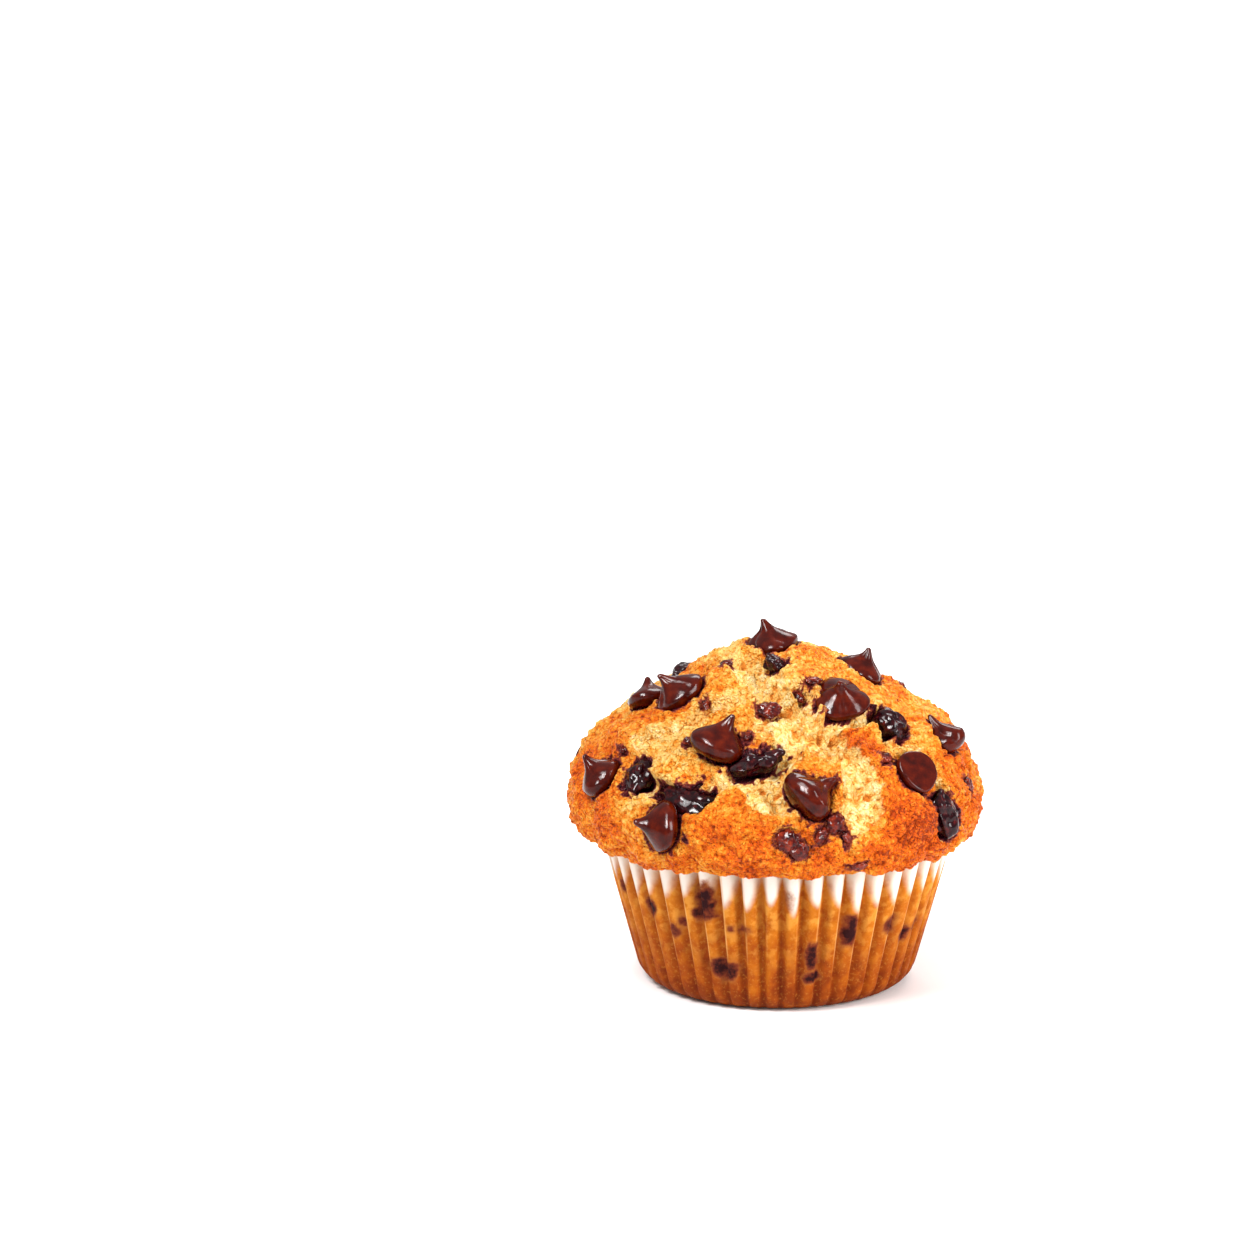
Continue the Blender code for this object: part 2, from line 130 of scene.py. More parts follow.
world = bpy.data.worlds.new("studio")
world.use_nodes = True
world_tree = world.node_tree
world_tree.nodes["Background"].inputs["Strength"].default_value = 1.0
sky = add_node(world_tree, "TexCoord")
sky_split = add_node(world_tree, "SeparateXYZ", {"Vector": sky.outputs["Generated"]})
sky_ramp = add_node(world_tree, "ValToRGB", {"Fac": sky_split.outputs["Z"]})
sky_ramp.color_ramp.elements[0].position = 0.0
sky_ramp.color_ramp.elements[0].color = (0.38, 0.38, 0.383, 1)
sky_ramp.color_ramp.elements[1].position = 0.9
sky_ramp.color_ramp.elements[1].color = (0.80, 0.80, 0.80, 1)
world_tree.links.new(sky_ramp.outputs["Color"], world_tree.nodes["Background"].inputs["Color"])
bpy.context.scene.world = world


# ------------------------------------------------------------
# The paper case. Thin white baking paper, pressed into a cup with a flat foot and deep folded
# pleats. It is white only where a ridge stands off the cake near the rim; everywhere else fat
# from the cake has soaked it to an orange gold, and pieces of chocolate show through.

RIM_RADIUS = 0.0414
RIM_HEIGHT = 0.0380
WALL_LEAN = math.radians(15.5)
CORNER_RADIUS = 0.0064
PLEATS = 46
PLEAT_DEPTH = 0.0021
PAPER = 0.00022
CORNER_STEPS, WALL_STEPS = 7, 34
# Half a pleat's section: each point's place across, as a share of the pitch from the ridge's
# middle, and how far it is pushed in, as a share of the pleat's depth, on the side that is
# folded sharply and on the side that rolls away.
PLEAT_SECTION = (
    (0.00, 0.02, 0.02), (0.10, 0.00, 0.03), (0.20, 0.00, 0.14), (0.27, 0.10, 0.34),
    (0.34, 0.78, 0.64), (0.41, 0.97, 0.88), (0.50, 1.00, 1.00),
)
# How far a pleat's ridge leans to its sharp side, and how fast that side changes round the cup.
PLEAT_LEAN, LEAN_GAIN = 0.09, 1.6
# How unlike each other the pleats are in width, place and depth, and how they wander going up.
UNEVEN_WIDTH, UNEVEN_PLACE, UNEVEN_DEPTH = 0.16, 0.08, 0.10
WANDER, WANDER_PITCH = 0.05, 0.018
PLEAT_CROWDING = 0.045
# How much of the ridge is white at the rim on its sharp and its rolled side, each with what a
# pleat's lean adds to it; the line the white narrows to, and the height where it ends, which
# differs from pleat to pleat.
WHITE_SHARP, WHITE_ROLLED = (0.34, -0.12), (0.40, 0.16)
WHITE_LINE = 0.20
WHITE_FOOT, WHITE_FOOT_SPREAD, WHITE_TOP = 0.0248, 0.0036, 0.0345
# Chocolate that shows through the paper: azimuth, height, width, tallness, strength.
CASE_SPOTS = (
    (-159.5, 0.0244, 0.0026, 0.0034, 0.7), (-141.5, 0.0222, 0.003, 0.0036, 1.0),
    (-116.5, 0.0268, 0.0034, 0.0058, 1.0), (-119.0, 0.0235, 0.003, 0.0026, 0.9),
    (-131.5, 0.018, 0.0022, 0.0026, 0.8), (-127.5, 0.0206, 0.0022, 0.002, 0.75),
    (-103.0, 0.0206, 0.003, 0.002, 0.55), (-108.0, 0.0206, 0.0016, 0.0016, 0.6),
    (-112.0, 0.0102, 0.0044, 0.004, 0.95), (-78.5, 0.0145, 0.0024, 0.0044, 1.0),
    (-78.0, 0.009, 0.0026, 0.0026, 1.0), (-65.0, 0.0196, 0.0028, 0.0056, 1.0),
    (-47.0, 0.0192, 0.0034, 0.0034, 0.85), (-37.5, 0.0155, 0.0028, 0.003, 0.95),
    (-30.0, 0.0172, 0.0022, 0.0028, 0.85), (-88.0, 0.028, 0.0022, 0.004, 0.4),
    (18.0, 0.018, 0.003, 0.004, 0.9), (44.0, 0.0246, 0.0034, 0.005, 1.0),
    (52.0, 0.012, 0.0026, 0.003, 0.8), (77.0, 0.015, 0.004, 0.0036, 0.95),
    (101.0, 0.0222, 0.0026, 0.005, 0.9), (122.0, 0.011, 0.003, 0.003, 0.9),
    (146.0, 0.0196, 0.0036, 0.0044, 1.0), (171.0, 0.014, 0.0024, 0.003, 0.75),
)
SPOT_FRAY, SPOT_FRAY_PITCH = 0.35, 0.0022


def ridge_radius(height):
    """The case's outer radius at a pleat's ridge, on its straight wall."""
    return RIM_RADIUS - (RIM_HEIGHT - height) * math.tan(WALL_LEAN)


def case_outline():
    """The case's outer outline from foot to rim: radius, height, the normal, and pleat depth."""
    middle = ridge_radius(CORNER_RADIUS) - CORNER_RADIUS / math.cos(WALL_LEAN)
    stations = []
    for step in range(CORNER_STEPS + 1):
        share = step / CORNER_STEPS
        angle = -math.pi / 2 + share * (math.pi / 2 - WALL_LEAN)
        across, up = math.cos(angle), math.sin(angle)
        radius = middle + CORNER_RADIUS * across
        stations.append((radius, CORNER_RADIUS * (1 + up), across, up, PLEAT_DEPTH * 0.45 * share))
    foot_radius, foot_height = stations[-1][0], stations[-1][1]
    for step in range(1, WALL_STEPS + 1):
        share = step / WALL_STEPS
        radius = foot_radius + share * (RIM_RADIUS - foot_radius)
        height = foot_height + share * (RIM_HEIGHT - foot_height)
        stations.append((radius, height, across, up, PLEAT_DEPTH * (0.45 + 0.55 * share)))
    return stations


def smooth(value, low, high):
    """0 below low, 1 above high and a soft step between, for numbers and arrays."""
    share = np.clip((value - low) / (high - low), 0.0, 1.0)
    return share * share * (3.0 - 2.0 * share)


def spin_round(bm, chain, steps):
    """Spins a chain of points once round Z, to a skin that is merged and faces outwards."""
    edges = [bm.edges.new(pair) for pair in zip(chain, chain[1:])]
    bmesh.ops.spin(
        bm, geom=chain + edges, cent=(0, 0, 0), axis=(0, 0, 1),
        angle=math.tau, steps=steps, use_merge=True,
    )
    bmesh.ops.remove_doubles(bm, verts=bm.verts, dist=1e-6)
    bmesh.ops.recalc_face_normals(bm, faces=bm.faces)


def paper_case():
    """Spins the cup's wall, inside and out, then pushes it in between the ridges."""
    outer = case_outline()
    inner = [(r - PAPER * a, h - PAPER * u, a, u, depth) for r, h, a, u, depth in reversed(outer)]
    inner[0] = (outer[-1][0] - PAPER / math.cos(WALL_LEAN), RIM_HEIGHT, *inner[0][2:])
    bm = bmesh.new()
    depth_of = bm.verts.layers.float.new("pleat_depth")
    chain = []
    for radius, height, _, _, depth in [(0, 0, 0, 0, 0), *outer, *inner, (0, PAPER, 0, 0, 0)]:
        chain.append(bm.verts.new((radius, 0.0, height)))
        chain[-1][depth_of] = depth
    around = 2 * (len(PLEAT_SECTION) - 1)
    steps = PLEATS * around
    spin_round(bm, chain, steps)
    across_of = bm.verts.layers.float.new("across")
    taper_of = bm.verts.layers.float.new("taper")
    crease_highlight_of = bm.verts.layers.float.new("crease")
    spot_of = bm.verts.layers.float.new("spot")
    for vert in bm.verts:
        radius = math.hypot(vert.co.x, vert.co.y)
        if radius < 1e-6:
            continue
        step = round(math.atan2(vert.co.y, vert.co.x) / math.tau * steps) % steps
        pleat, corner = divmod(step, around)
        point = corner if corner <= around // 2 else corner - around
        place, sharp_push, rolled_push = PLEAT_SECTION[abs(point)]
        side = math.copysign(1.0, point)
        pleat += 0 if corner <= around // 2 else 1
        # The pleats lean away from the front and back of the cup, to the left and right of it.
        lean = -min(max(LEAN_GAIN * math.sin(2 * pleat / PLEATS * math.tau), -1.0), 1.0)
        sharp = 0.5 + 0.5 * lean * side
        pushed = sharp * sharp_push + (1.0 - sharp) * rolled_push
        # No two pleats are folded alike: each has its own width, shift and depth.
        own = Vector((7.3 * (pleat % PLEATS), 1.7, 3.1))
        width = 1.0 + UNEVEN_WIDTH * noise.noise(own)
        shift = PLEAT_LEAN * lean + UNEVEN_PLACE * noise.noise(own + Vector((0, 9.1, 0)))
        shift += WANDER * noise.noise(Vector((pleat % PLEATS * 3.7, vert.co.z / WANDER_PITCH, 5.0)))
        across = side * place * (width if abs(point) < around // 2 else 1.0)
        across += shift * (1 - 2 * abs(point) / around)
        azimuth = (pleat + across) / PLEATS * math.tau
        # The pleats run closer together at the front and back than at the sides.
        azimuth += PLEAT_CROWDING * math.sin(2 * azimuth)
        uneven = 1.0 + UNEVEN_DEPTH * noise.noise(own + Vector((0, 0, vert.co.z / 0.02)))
        radius -= vert[depth_of] * pushed * uneven
        vert.co.x, vert.co.y = radius * math.cos(azimuth), radius * math.sin(azimuth)
        # 0 along the line that the white narrows to, 1 where the white ends at the rim.
        towards = side * place - WHITE_LINE * lean
        spread, leaning_adds = WHITE_SHARP if towards * lean > 0 else WHITE_ROLLED
        vert[across_of] = abs(towards) / (spread + leaning_adds * abs(lean))
        vert[taper_of] = WHITE_FOOT + WHITE_FOOT_SPREAD * noise.noise(own + Vector((4.0, 0, 0)))
        # Marks the sharp creases, which the paint lightens with a painted highlight line.
        vert[crease_highlight_of] = sharp if abs(point) in (2, 3) else 0.0
        spot = 0.0
        for spot_azimuth, height, wide, tall, strength in CASE_SPOTS:
            away = math.remainder(azimuth - math.radians(spot_azimuth), math.tau) * radius
            reach = math.hypot(away / wide, (vert.co.z - height) / tall)
            reach += SPOT_FRAY * noise.noise(vert.co / SPOT_FRAY_PITCH)
            spot = max(spot, strength * float(1.0 - smooth(reach, 0.30, 1.15)))
        vert[spot_of] = spot
    return bm


def ramp(tree, fac, *stops):
    """A colour ramp: stops are (position, colour)."""
    made = add_node(tree, "ValToRGB", {"Fac": fac})
    bands = made.color_ramp.elements
    while len(bands) < len(stops):
        bands.new(0.5)
    for band, (place, colour) in zip(bands, stops):
        band.position = place
        band.color = (*colour, 1.0)
    return made.outputs["Color"]


def mix(tree, fac, first, second, blend="MIX"):
    """The colour between first and second."""
    made = add_node(tree, "Mix", data_type="RGBA", blend_type=blend)
    for socket, value in ((made.inputs[0], fac), (made.inputs[6], first), (made.inputs[7], second)):
        if isinstance(value, bpy.types.NodeSocket):
            tree.links.new(value, socket)
        else:
            socket.default_value = value if isinstance(value, float) else (*value, 1.0)
    return made.outputs[2]


def calc(tree, operation, *values):
    """One Math node over numbers and sockets."""
    made = add_node(tree, "Math", operation=operation)
    for socket, value in zip(made.inputs, values):
        if isinstance(value, bpy.types.NodeSocket):
            tree.links.new(value, socket)
        else:
            socket.default_value = value
    return made.outputs[0]


def plus(tree, first, second):
    """Their sum."""
    return calc(tree, "ADD", first, second)


def minus(tree, first, second):
    """Their difference."""
    return calc(tree, "SUBTRACT", first, second)


def times(tree, first, second):
    """Their product."""
    return calc(tree, "MULTIPLY", first, second)


def centred(tree, value, strength, middle=0.5):
    """strength times how far value is from its middle."""
    return times(tree, minus(tree, value, middle), strength)


def soft_step(tree, value, low, high):
    """The same soft step as smooth(), in nodes."""
    reach = {"Value": value, "From Min": low, "From Max": high}
    return add_node(tree, "MapRange", reach, interpolation_type="SMOOTHSTEP").outputs["Result"]


def grain(tree, place, scale, detail=3.0, roughness=0.55):
    """Fractal noise with features of about 1/scale metres."""
    finish = {"Vector": place, "Scale": scale, "Detail": detail, "Roughness": roughness}
    return add_node(tree, "TexNoise", finish).outputs["Fac"]


def attribute(tree, name):
    """A number kept on the mesh's points."""
    return add_node(tree, "Attribute", attribute_name=name).outputs["Fac"]


def object_place(tree):
    """The place on the object, which every pattern is laid out in."""
    return add_node(tree, "TexCoord").outputs["Object"]


def add_bump(tree, shader, height, strength, distance):
    """Shades the surface as if it rose with height."""
    made = add_node(tree, "Bump", {"Height": height, "Strength": strength, "Distance": distance})
    tree.links.new(made.outputs["Normal"], shader.inputs["Normal"])


case_paint, tree, shader = new_material("greased_paper", Roughness=0.66, Specular_IOR_Level=0.06)
place = object_place(tree)
height = add_node(tree, "SeparateXYZ", {"Vector": place}).outputs["Z"]
across = attribute(tree, "across")
cloud = grain(tree, place, 260.0)
fine = grain(tree, place, 1500.0)

# Soaked paper: brown at the foot, golden higher up and finely mottled, with painted shade darkening the
# valleys.
soaked = ramp(
    tree, plus(tree, calc(tree, "DIVIDE", height, 0.040), centred(tree, cloud, 1.3)),
    (0.00, (0.20, 0.032, 0.002)), (0.22, (0.30, 0.058, 0.003)), (0.50, (0.40, 0.100, 0.004)),
    (0.80, (0.52, 0.160, 0.010)), (1.00, (0.52, 0.170, 0.014)),
)
gold = soft_step(tree, grain(tree, place, 330.0), 0.46, 0.62)
gold = times(tree, gold, soft_step(tree, height, 0.006, 0.026))
soaked = mix(tree, times(tree, gold, 0.60), soaked, (0.68, 0.30, 0.045))
# Painted shade: the paper darkens away from the ridge line into the valleys.
valley_shade = mix(tree, 1.0, soaked, (0.60, 0.44, 0.26), "MULTIPLY")
soaked = mix(tree, soft_step(tree, across, 0.45, 1.35), soaked, valley_shade)
flecked = mix(tree, 0.22, soaked, (0.66, 0.28, 0.05))
soaked = mix(tree, soft_step(tree, fine, 0.52, 0.72), soaked, flecked)

# Dry white paper: a wedge on each ridge that narrows downwards, greyed towards its sides by painted
# shade.
taper = attribute(tree, "taper")
rise = calc(tree, "DIVIDE", minus(tree, height, taper), minus(tree, WHITE_TOP, taper))
rise = calc(tree, "POWER", calc(tree, "MAXIMUM", rise, 0.0), 0.62)
edge = minus(tree, times(tree, rise, 1.35), across)
edge = plus(tree, edge, centred(tree, cloud, 0.4))
white = times(tree, soft_step(tree, edge, -0.22, 0.50), soft_step(tree, rise, 0.0, 0.55))
# Painted shade greys the white paper towards the sides of its wedge.
white_with_painted_shade = mix(tree, soft_step(tree, across, 0.30, 1.05), (0.76, 0.69, 0.62), (0.56, 0.46, 0.37))
paper = mix(tree, white, soaked, white_with_painted_shade)

# A painted highlight runs as a pale line along the sharp creases, and chocolate darkens the paper that
# it touches.
crease = times(tree, attribute(tree, "crease"), soft_step(tree, height, 0.002, 0.018))
crease = times(tree, soft_step(tree, crease, 0.45, 1.0), times(tree, cloud, 0.9))
paper = mix(tree, crease, paper, (0.66, 0.34, 0.11))
spot = plus(tree, attribute(tree, "spot"), centred(tree, fine, 0.3))
through = ramp(
    tree, plus(tree, spot, centred(tree, grain(tree, place, 700.0), 0.9)),
    (0.30, (0.330, 0.100, 0.018)), (0.66, (0.150, 0.026, 0.009)), (0.96, (0.022, 0.003, 0.004)),
)
paper = mix(tree, soft_step(tree, spot, 0.06, 0.62), paper, through)
tree.links.new(paper, shader.inputs["Base Color"])
add_bump(tree, shader, grain(tree, place, 900.0, 5.0, 0.65), 0.18, 0.0006)

case = object_from("pleated_case", paper_case(), case_paint)
case.data.set_sharp_from_angle(angle=math.radians(70))
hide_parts("paper_case")
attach(case, "root")


# ------------------------------------------------------------
# The crumb: one baked cake. It fills the case, and above the rim it has risen into a dome that
# spread over the paper. The crust is golden and pebbly, browner low down and on raised plates;
# where the dome split as it rose, pale open crumb shows with ragged borders.

CROWN_RADIUS = 0.0474
CROWN_EQUATOR = 0.0430
CRUMB_HEIGHT = 0.0784
LIP_HEIGHT = 0.0350
GAP = 0.00035
LIP_DROOP = Vector((0.0436, 0.0339))
LIP_SWELL = Vector((CROWN_RADIUS, 0.0380))
DOME_SHOULDER = Vector((CROWN_RADIUS, 0.0580))
DOME_PEAK = Vector((0.0160, 0.0759))
BROAD_LUMP, BROAD_PITCH = 0.0012, 0.0140
SMALL_LUMP, SMALL_PITCH = 0.0008, 0.0065
TEAR_DEPTH = 0.0024
CRUST_RISE = 0.0005
TEAR_WOBBLE, WOBBLE_PITCH = 0.0016, 0.0050
TEAR_STEP = 0.0006
# Each tear: its half width, then the points it runs through, as azimuth and polar angle.
TEARS = (
    (0.0052, ((-127, 17), (-104, 31), (-88, 43), (-83, 53), (-89, 61), (-94, 70), (-91, 78))),
    (0.0048, ((-83, 53), (-70, 62), (-65, 70), (-67, 78), (-69, 84))),
    (0.0034, ((-94, 66), (-103, 68), (-109, 73), (-115, 79), (-124, 79), (-137, 76))),
    (0.003, ((-104, 31), (-119, 41), (-131, 46), (-133, 54), (-141, 62), (-146, 67))),
    (0.0032, ((-77, 34), (-75, 52), (-58, 53), (-40, 52), (-46, 62), (-41, 65), (-37, 71))),
    (0.0026, ((-37, 71), (-38, 83), (-42, 91))),
    (0.0045, ((60, 14), (72, 30), (86, 42), (92, 56), (84, 66), (88, 80))),
    (0.0036, ((86, 42), (104, 52), (118, 60), (124, 72), (116, 84))),
    (0.0034, ((72, 30), (52, 44), (38, 48), (24, 58), (20, 70))),
    (0.0032, ((150, 24), (142, 40), (150, 52), (164, 62), (170, 76))),
    (0.003, ((84, 66), (66, 68), (56, 74), (40, 76), (34, 88))),
)
# Places beside the cracks where the crust tore off whole: azimuth, polar, spread.
TORN_PATCHES = (
    (-98, 75, 0.004), (-109, 52, 0.0034), (-96, 51, 0.0034), (-123, 66, 0.0034),
    (-66, 78, 0.0026), (-98, 32, 0.0034), (-74, 60, 0.003), (80, 60, 0.004),
    (120, 48, 0.0036), (30, 54, 0.0034), (160, 50, 0.0036), (60, 82, 0.003),
)
# Plates of crust that stand proud, and a side that rose less: azimuth, polar, spread, rise.
PLATES = (
    (-60, 61, 0.0055, 0.0016), (-60, 84, 0.01, 0.001), (-107, 88, 0.009, 0.0008),
    (-146, 82, 0.009, 0.0006), (-147, 64, 0.006, 0.0006), (-14, 50, 0.009, 0.0006),
    (-4, 98, 0.013, -0.002), (-50, 12, 0.006, 0.0009), (172, 24, 0.008, 0.0009),
    (52, 56, 0.0085, 0.0008), (105, 80, 0.008, 0.001), (150, 80, 0.008, 0.0006),
    (128, 34, 0.007, 0.0006),
)
# Where the crust baked darker or stayed paler: azimuth, polar, spread, amount.
BAKED = (
    (-58, 85, 0.01, 0.34), (-60, 62, 0.0054, 0.44), (-53, 16, 0.007, 0.14), (-154, 88, 0.009, 0.12),
    (-104, 89, 0.009, 0.16), (-133, 70, 0.008, -0.24), (-20, 52, 0.01, -0.04), (-128, 22, 0.0026, 0.3),
    (-25, 84, 0.011, 0.14), (-165, 66, 0.008, 0.14), (-31, 71, 0.0042, 0.26), (-32, 62, 0.005, -0.16),
    (-133, 38, 0.008, -0.04), (-67, 19, 0.009, -0.02), (-136, 82, 0.006, -0.12), (-44, 92, 0.01, 0.12),
    (-10, 70, 0.01, 0.14), (-178, 40, 0.009, 0.08), (-96, 80, 0.004, 0.1), (-80, 92, 0.007, 0.16),
    (40, 60, 0.011, 0.18), (105, 82, 0.01, 0.2), (150, 82, 0.011, 0.18), (175, 60, 0.011, -0.1),
    (70, 88, 0.011, 0.16), (128, 36, 0.008, -0.12), (20, 84, 0.011, 0.18), (60, 34, 0.006, -0.12),
)
Pocket = namedtuple("Pocket", "azimuth polar length width thickness turn proud")
POCKETS = {
    "melt_left": Pocket(-120, 78, 0.015, 0.0076, 0.006, -12, -0.0008),
    "melt_centre": Pocket(-99, 65, 0.012, 0.0046, 0.005, 24, -0.0006),
    "melt_round": Pocket(-140, 75, 0.007, 0.0086, 0.006, 0, -0.0006),
    "melt_right": Pocket(-37, 56, 0.0062, 0.0084, 0.007, 16, 0.0003),
    "melt_right_low": Pocket(-38, 87, 0.0076, 0.0112, 0.0062, 14, 0.0),
    "melt_top": Pocket(-98, 17, 0.006, 0.0034, 0.0042, -36, -0.0002),
    "melt_upper_left": Pocket(152, 43, 0.0078, 0.005, 0.005, 10, -0.0004),
    "melt_back_shoulder": Pocket(66, 68, 0.012, 0.007, 0.006, 28, -0.0006),
    "melt_back_left": Pocket(112, 80, 0.0088, 0.0076, 0.006, 0, -0.0004),
    "melt_back_high": Pocket(102, 40, 0.009, 0.006, 0.0056, -30, -0.0014),
    "melt_back_low": Pocket(32, 84, 0.0082, 0.0088, 0.006, 10, -0.0004),
}
# The crust's skin of small rounded pebbles, each kind as height and pitch, and how they are
# squeezed level with the floor.
PEBBLE, PEBBLE_PITCH = 0.00040, 0.0019
GRIT, GRIT_PITCH = 0.00026, 0.0011
SKIN_SWELL, SKIN_SWELL_PITCH = 0.00060, 0.0042
SKIN_SQUEEZE = 1.4
# The open crumb: loose clumps, curds on them, and pores, with the noise that a pore starts at.
CLUMP, CLUMP_PITCH = 0.00090, 0.0036
CURD, CURD_PITCH = 0.00030, 0.0021
CLUMP_SWELL, CLUMP_SWELL_PITCH = 0.00080, 0.0030
PORE_DEPTH, PORE_PITCH, PORE_START = 0.0034, 0.0019, 0.24
# Crags and low hills, as the batter rose unevenly.
CRAG, CRAG_PITCH = 0.00065, 0.0052
HILL, HILL_PITCH = 0.00060, 0.0096
# How ragged the torn borders are, and the reach from a tear between which crust gives way.
FRAY, FRAY_PITCH, FINE_FRAY, FINE_FRAY_PITCH = 0.30, 0.0026, 0.18, 0.0011
OPEN_WITHIN, WHOLE_BEYOND = 0.64, 0.84
# How the crust curls up along its torn border, and how far the open crumb lies below it.
BORDER_CURL, CURL_AT, CURL_WIDTH = 0.00070, 0.98, 0.20
OPEN_DROP = 0.00110
# How browned the crust is: all over, extra low down, less at the peak, and how blotchy.
BROWN, BROWN_LOW, BROWN_PEAK, BROWN_TEAR = 0.38, 0.14, 0.10, 0.20
BLOTCH, BLOTCH_PITCHES = 0.22, (0.0095, 0.0044)
# How far the crumb dips under a pool, in shares of its thickness and of its length.
POOL_DIP, POOL_DIP_WIDTH = 0.2, 0.55
CRUMB_CELLS = 294
FRONT_CROWDING = 0.18


def crown_curves(lip_steps, dome_steps):
    """Points (radius, height) along the lip, from the paper up to the widest level, and the dome."""
    start = Vector((ridge_radius(LIP_HEIGHT) + 0.0005, LIP_HEIGHT))
    widest = Vector((CROWN_RADIUS, CROWN_EQUATOR))
    peak = Vector((0.0, CRUMB_HEIGHT))
    lip = geometry.interpolate_bezier(start, LIP_DROOP, LIP_SWELL, widest, lip_steps)
    dome = geometry.interpolate_bezier(widest, DOME_SHOULDER, DOME_PEAK, peak, dome_steps)
    return lip + dome[1:]


def crown_seat(azimuth, polar):
    """The point of the smooth crown at these angles in degrees, and its outward normal."""
    turn, wanted = math.radians(azimuth), math.radians(polar)
    curve = crown_curves(80, 200)
    for low, high in zip(curve, curve[1:]):
        before = math.atan2(low.x, low.y - CROWN_EQUATOR)
        after = math.atan2(high.x, high.y - CROWN_EQUATOR)
        if after <= wanted <= before:
            break
    spot = low.lerp(high, (before - wanted) / (before - after))
    across, up = (high.y - low.y), (low.x - high.x)
    point = Vector((spot.x * math.cos(turn), spot.x * math.sin(turn), spot.y))
    normal = Vector((across * math.cos(turn), across * math.sin(turn), up)).normalized()
    return point, normal


def tear_points():
    """A search tree of points along every tear, and each point's half width."""
    found = []
    for half_width, path in TEARS:
        corners = [crown_seat(azimuth, polar)[0] for azimuth, polar in path]
        for start, end in zip(corners, corners[1:]):
            count = max(1, round((end - start).length / TEAR_STEP))
            found += [(start.lerp(end, i / count), half_width) for i in range(count)]
    search = kdtree.KDTree(len(found))
    for index, (point, _) in enumerate(found):
        search.insert(point, index)
    search.balance()
    return search, [half_width for _, half_width in found]


TEAR_TREE, TEAR_WIDTHS = tear_points()
PLATE_SEATS = [(crown_seat(az, polar)[0], spread, rise) for az, polar, spread, rise in PLATES]
POCKET_SEATS = [(crown_seat(p.azimuth, p.polar)[0], p.length, p.thickness) for p in POCKETS.values()]


def tear_reach(point):
    """The distance to the nearest tear's middle, in half widths of that tear."""
    _, index, distance = TEAR_TREE.find(point)
    distance += TEAR_WOBBLE * noise.noise(point / WOBBLE_PITCH)
    return distance / TEAR_WIDTHS[index]


def torn_share(point):
    """How torn the top is at a point of the smooth crown: 1 in a crack, 0 on whole crust."""
    across = min(max(tear_reach(point), 0.0), 1.0)
    return 1.0 - across * across * (3.0 - 2.0 * across)


def relief(point):
    """How far the baked top stands out from the smooth crown at one of its points."""
    torn = torn_share(point)
    height = BROAD_LUMP * noise.noise(point / BROAD_PITCH)
    height += SMALL_LUMP * noise.noise(point / SMALL_PITCH)
    height += CRUST_RISE * (1.0 - torn) - TEAR_DEPTH * torn
    for seat, spread, rise in PLATE_SEATS:
        height += rise * math.exp(-((point - seat).length / spread) ** 2)
    for seat, length, thickness in POCKET_SEATS:
        away = (point - seat).length / (POOL_DIP_WIDTH * length)
        height -= POOL_DIP * thickness * math.exp(-away ** 2)
    if point.z < CROWN_EQUATOR:
        inside = ridge_radius(LIP_HEIGHT) + 0.0006
        height *= min(max((math.hypot(point.x, point.y) - inside) / 0.0025, 0.0), 1.0)
    return height


def top_seat(azimuth, polar):
    """The point of the baked top at these angles, and the smooth crown's normal there."""
    point, normal = crown_seat(azimuth, polar)
    return point + normal * relief(point), normal


def crown_sheet():
    """A square grid, rounded to a disk and laid over the crown, peak in the middle, rim at the lip."""
    bm = bmesh.new()
    bmesh.ops.create_grid(bm, x_segments=CRUMB_CELLS, y_segments=CRUMB_CELLS, size=1.0)
    flat = np.array([vert.co[:2] for vert in bm.verts])
    a, b = flat[:, 0], flat[:, 1]
    wide = np.abs(a) >= np.abs(b)
    safe_a, safe_b = np.where(a == 0, 1e-9, a), np.where(b == 0, 1e-9, b)
    reach = np.where(wide, a, b)
    turn = np.where(wide, math.pi / 4 * b / safe_a, math.pi / 2 - math.pi / 4 * a / safe_b)
    turn = np.where(reach < 0, turn + math.pi, turn)
    reach = np.abs(reach)
    # The front, -90 degrees, gets smaller cells than the back.
    turn = turn - FRONT_CROWDING * np.cos(turn)
    curve = np.array([tuple(p) for p in crown_curves(80, 200)])[::-1]
    length = np.concatenate([[0.0], np.cumsum(np.linalg.norm(np.diff(curve, axis=0), axis=1))])
    along = np.interp(reach, (0.0, 0.90, 1.0), (0.0, 0.93 * length[-1], length[-1]))
    radius = np.interp(along, length, curve[:, 0])
    height = np.interp(along, length, curve[:, 1])
    slope = np.gradient(curve, length, axis=0)
    out = np.interp(along, length, -slope[:, 1])
    up = np.interp(along, length, slope[:, 0])
    points = np.stack([radius * np.cos(turn), radius * np.sin(turn), height], axis=1)
    normals = np.stack([out * np.cos(turn), out * np.sin(turn), up], axis=1)
    normals /= np.linalg.norm(normals, axis=1)[:, None]
    return bm, points, normals


def lumps(point, pitch, shift=0.0):
    """Rounded lumps packed side by side: 0.7 on a lump's top, down to about -1 in the creases."""
    away = noise.voronoi(point / pitch + Vector((shift, shift, shift)))[0][0]
    return 0.7 - 2.6 * away * away


def skin_texture(point):
    """The baked skin: how far its pebbles stand out, and how hollow it is between them."""
    squeezed = Vector((point.x, point.y, point.z * SKIN_SQUEEZE))
    pebble, grit = lumps(squeezed, PEBBLE_PITCH), lumps(squeezed, GRIT_PITCH, 3.0)
    height = PEBBLE * pebble + GRIT * grit + SKIN_SWELL * noise.noise(point / SKIN_SWELL_PITCH)
    return height, 0.45 - 0.30 * pebble - 0.22 * grit


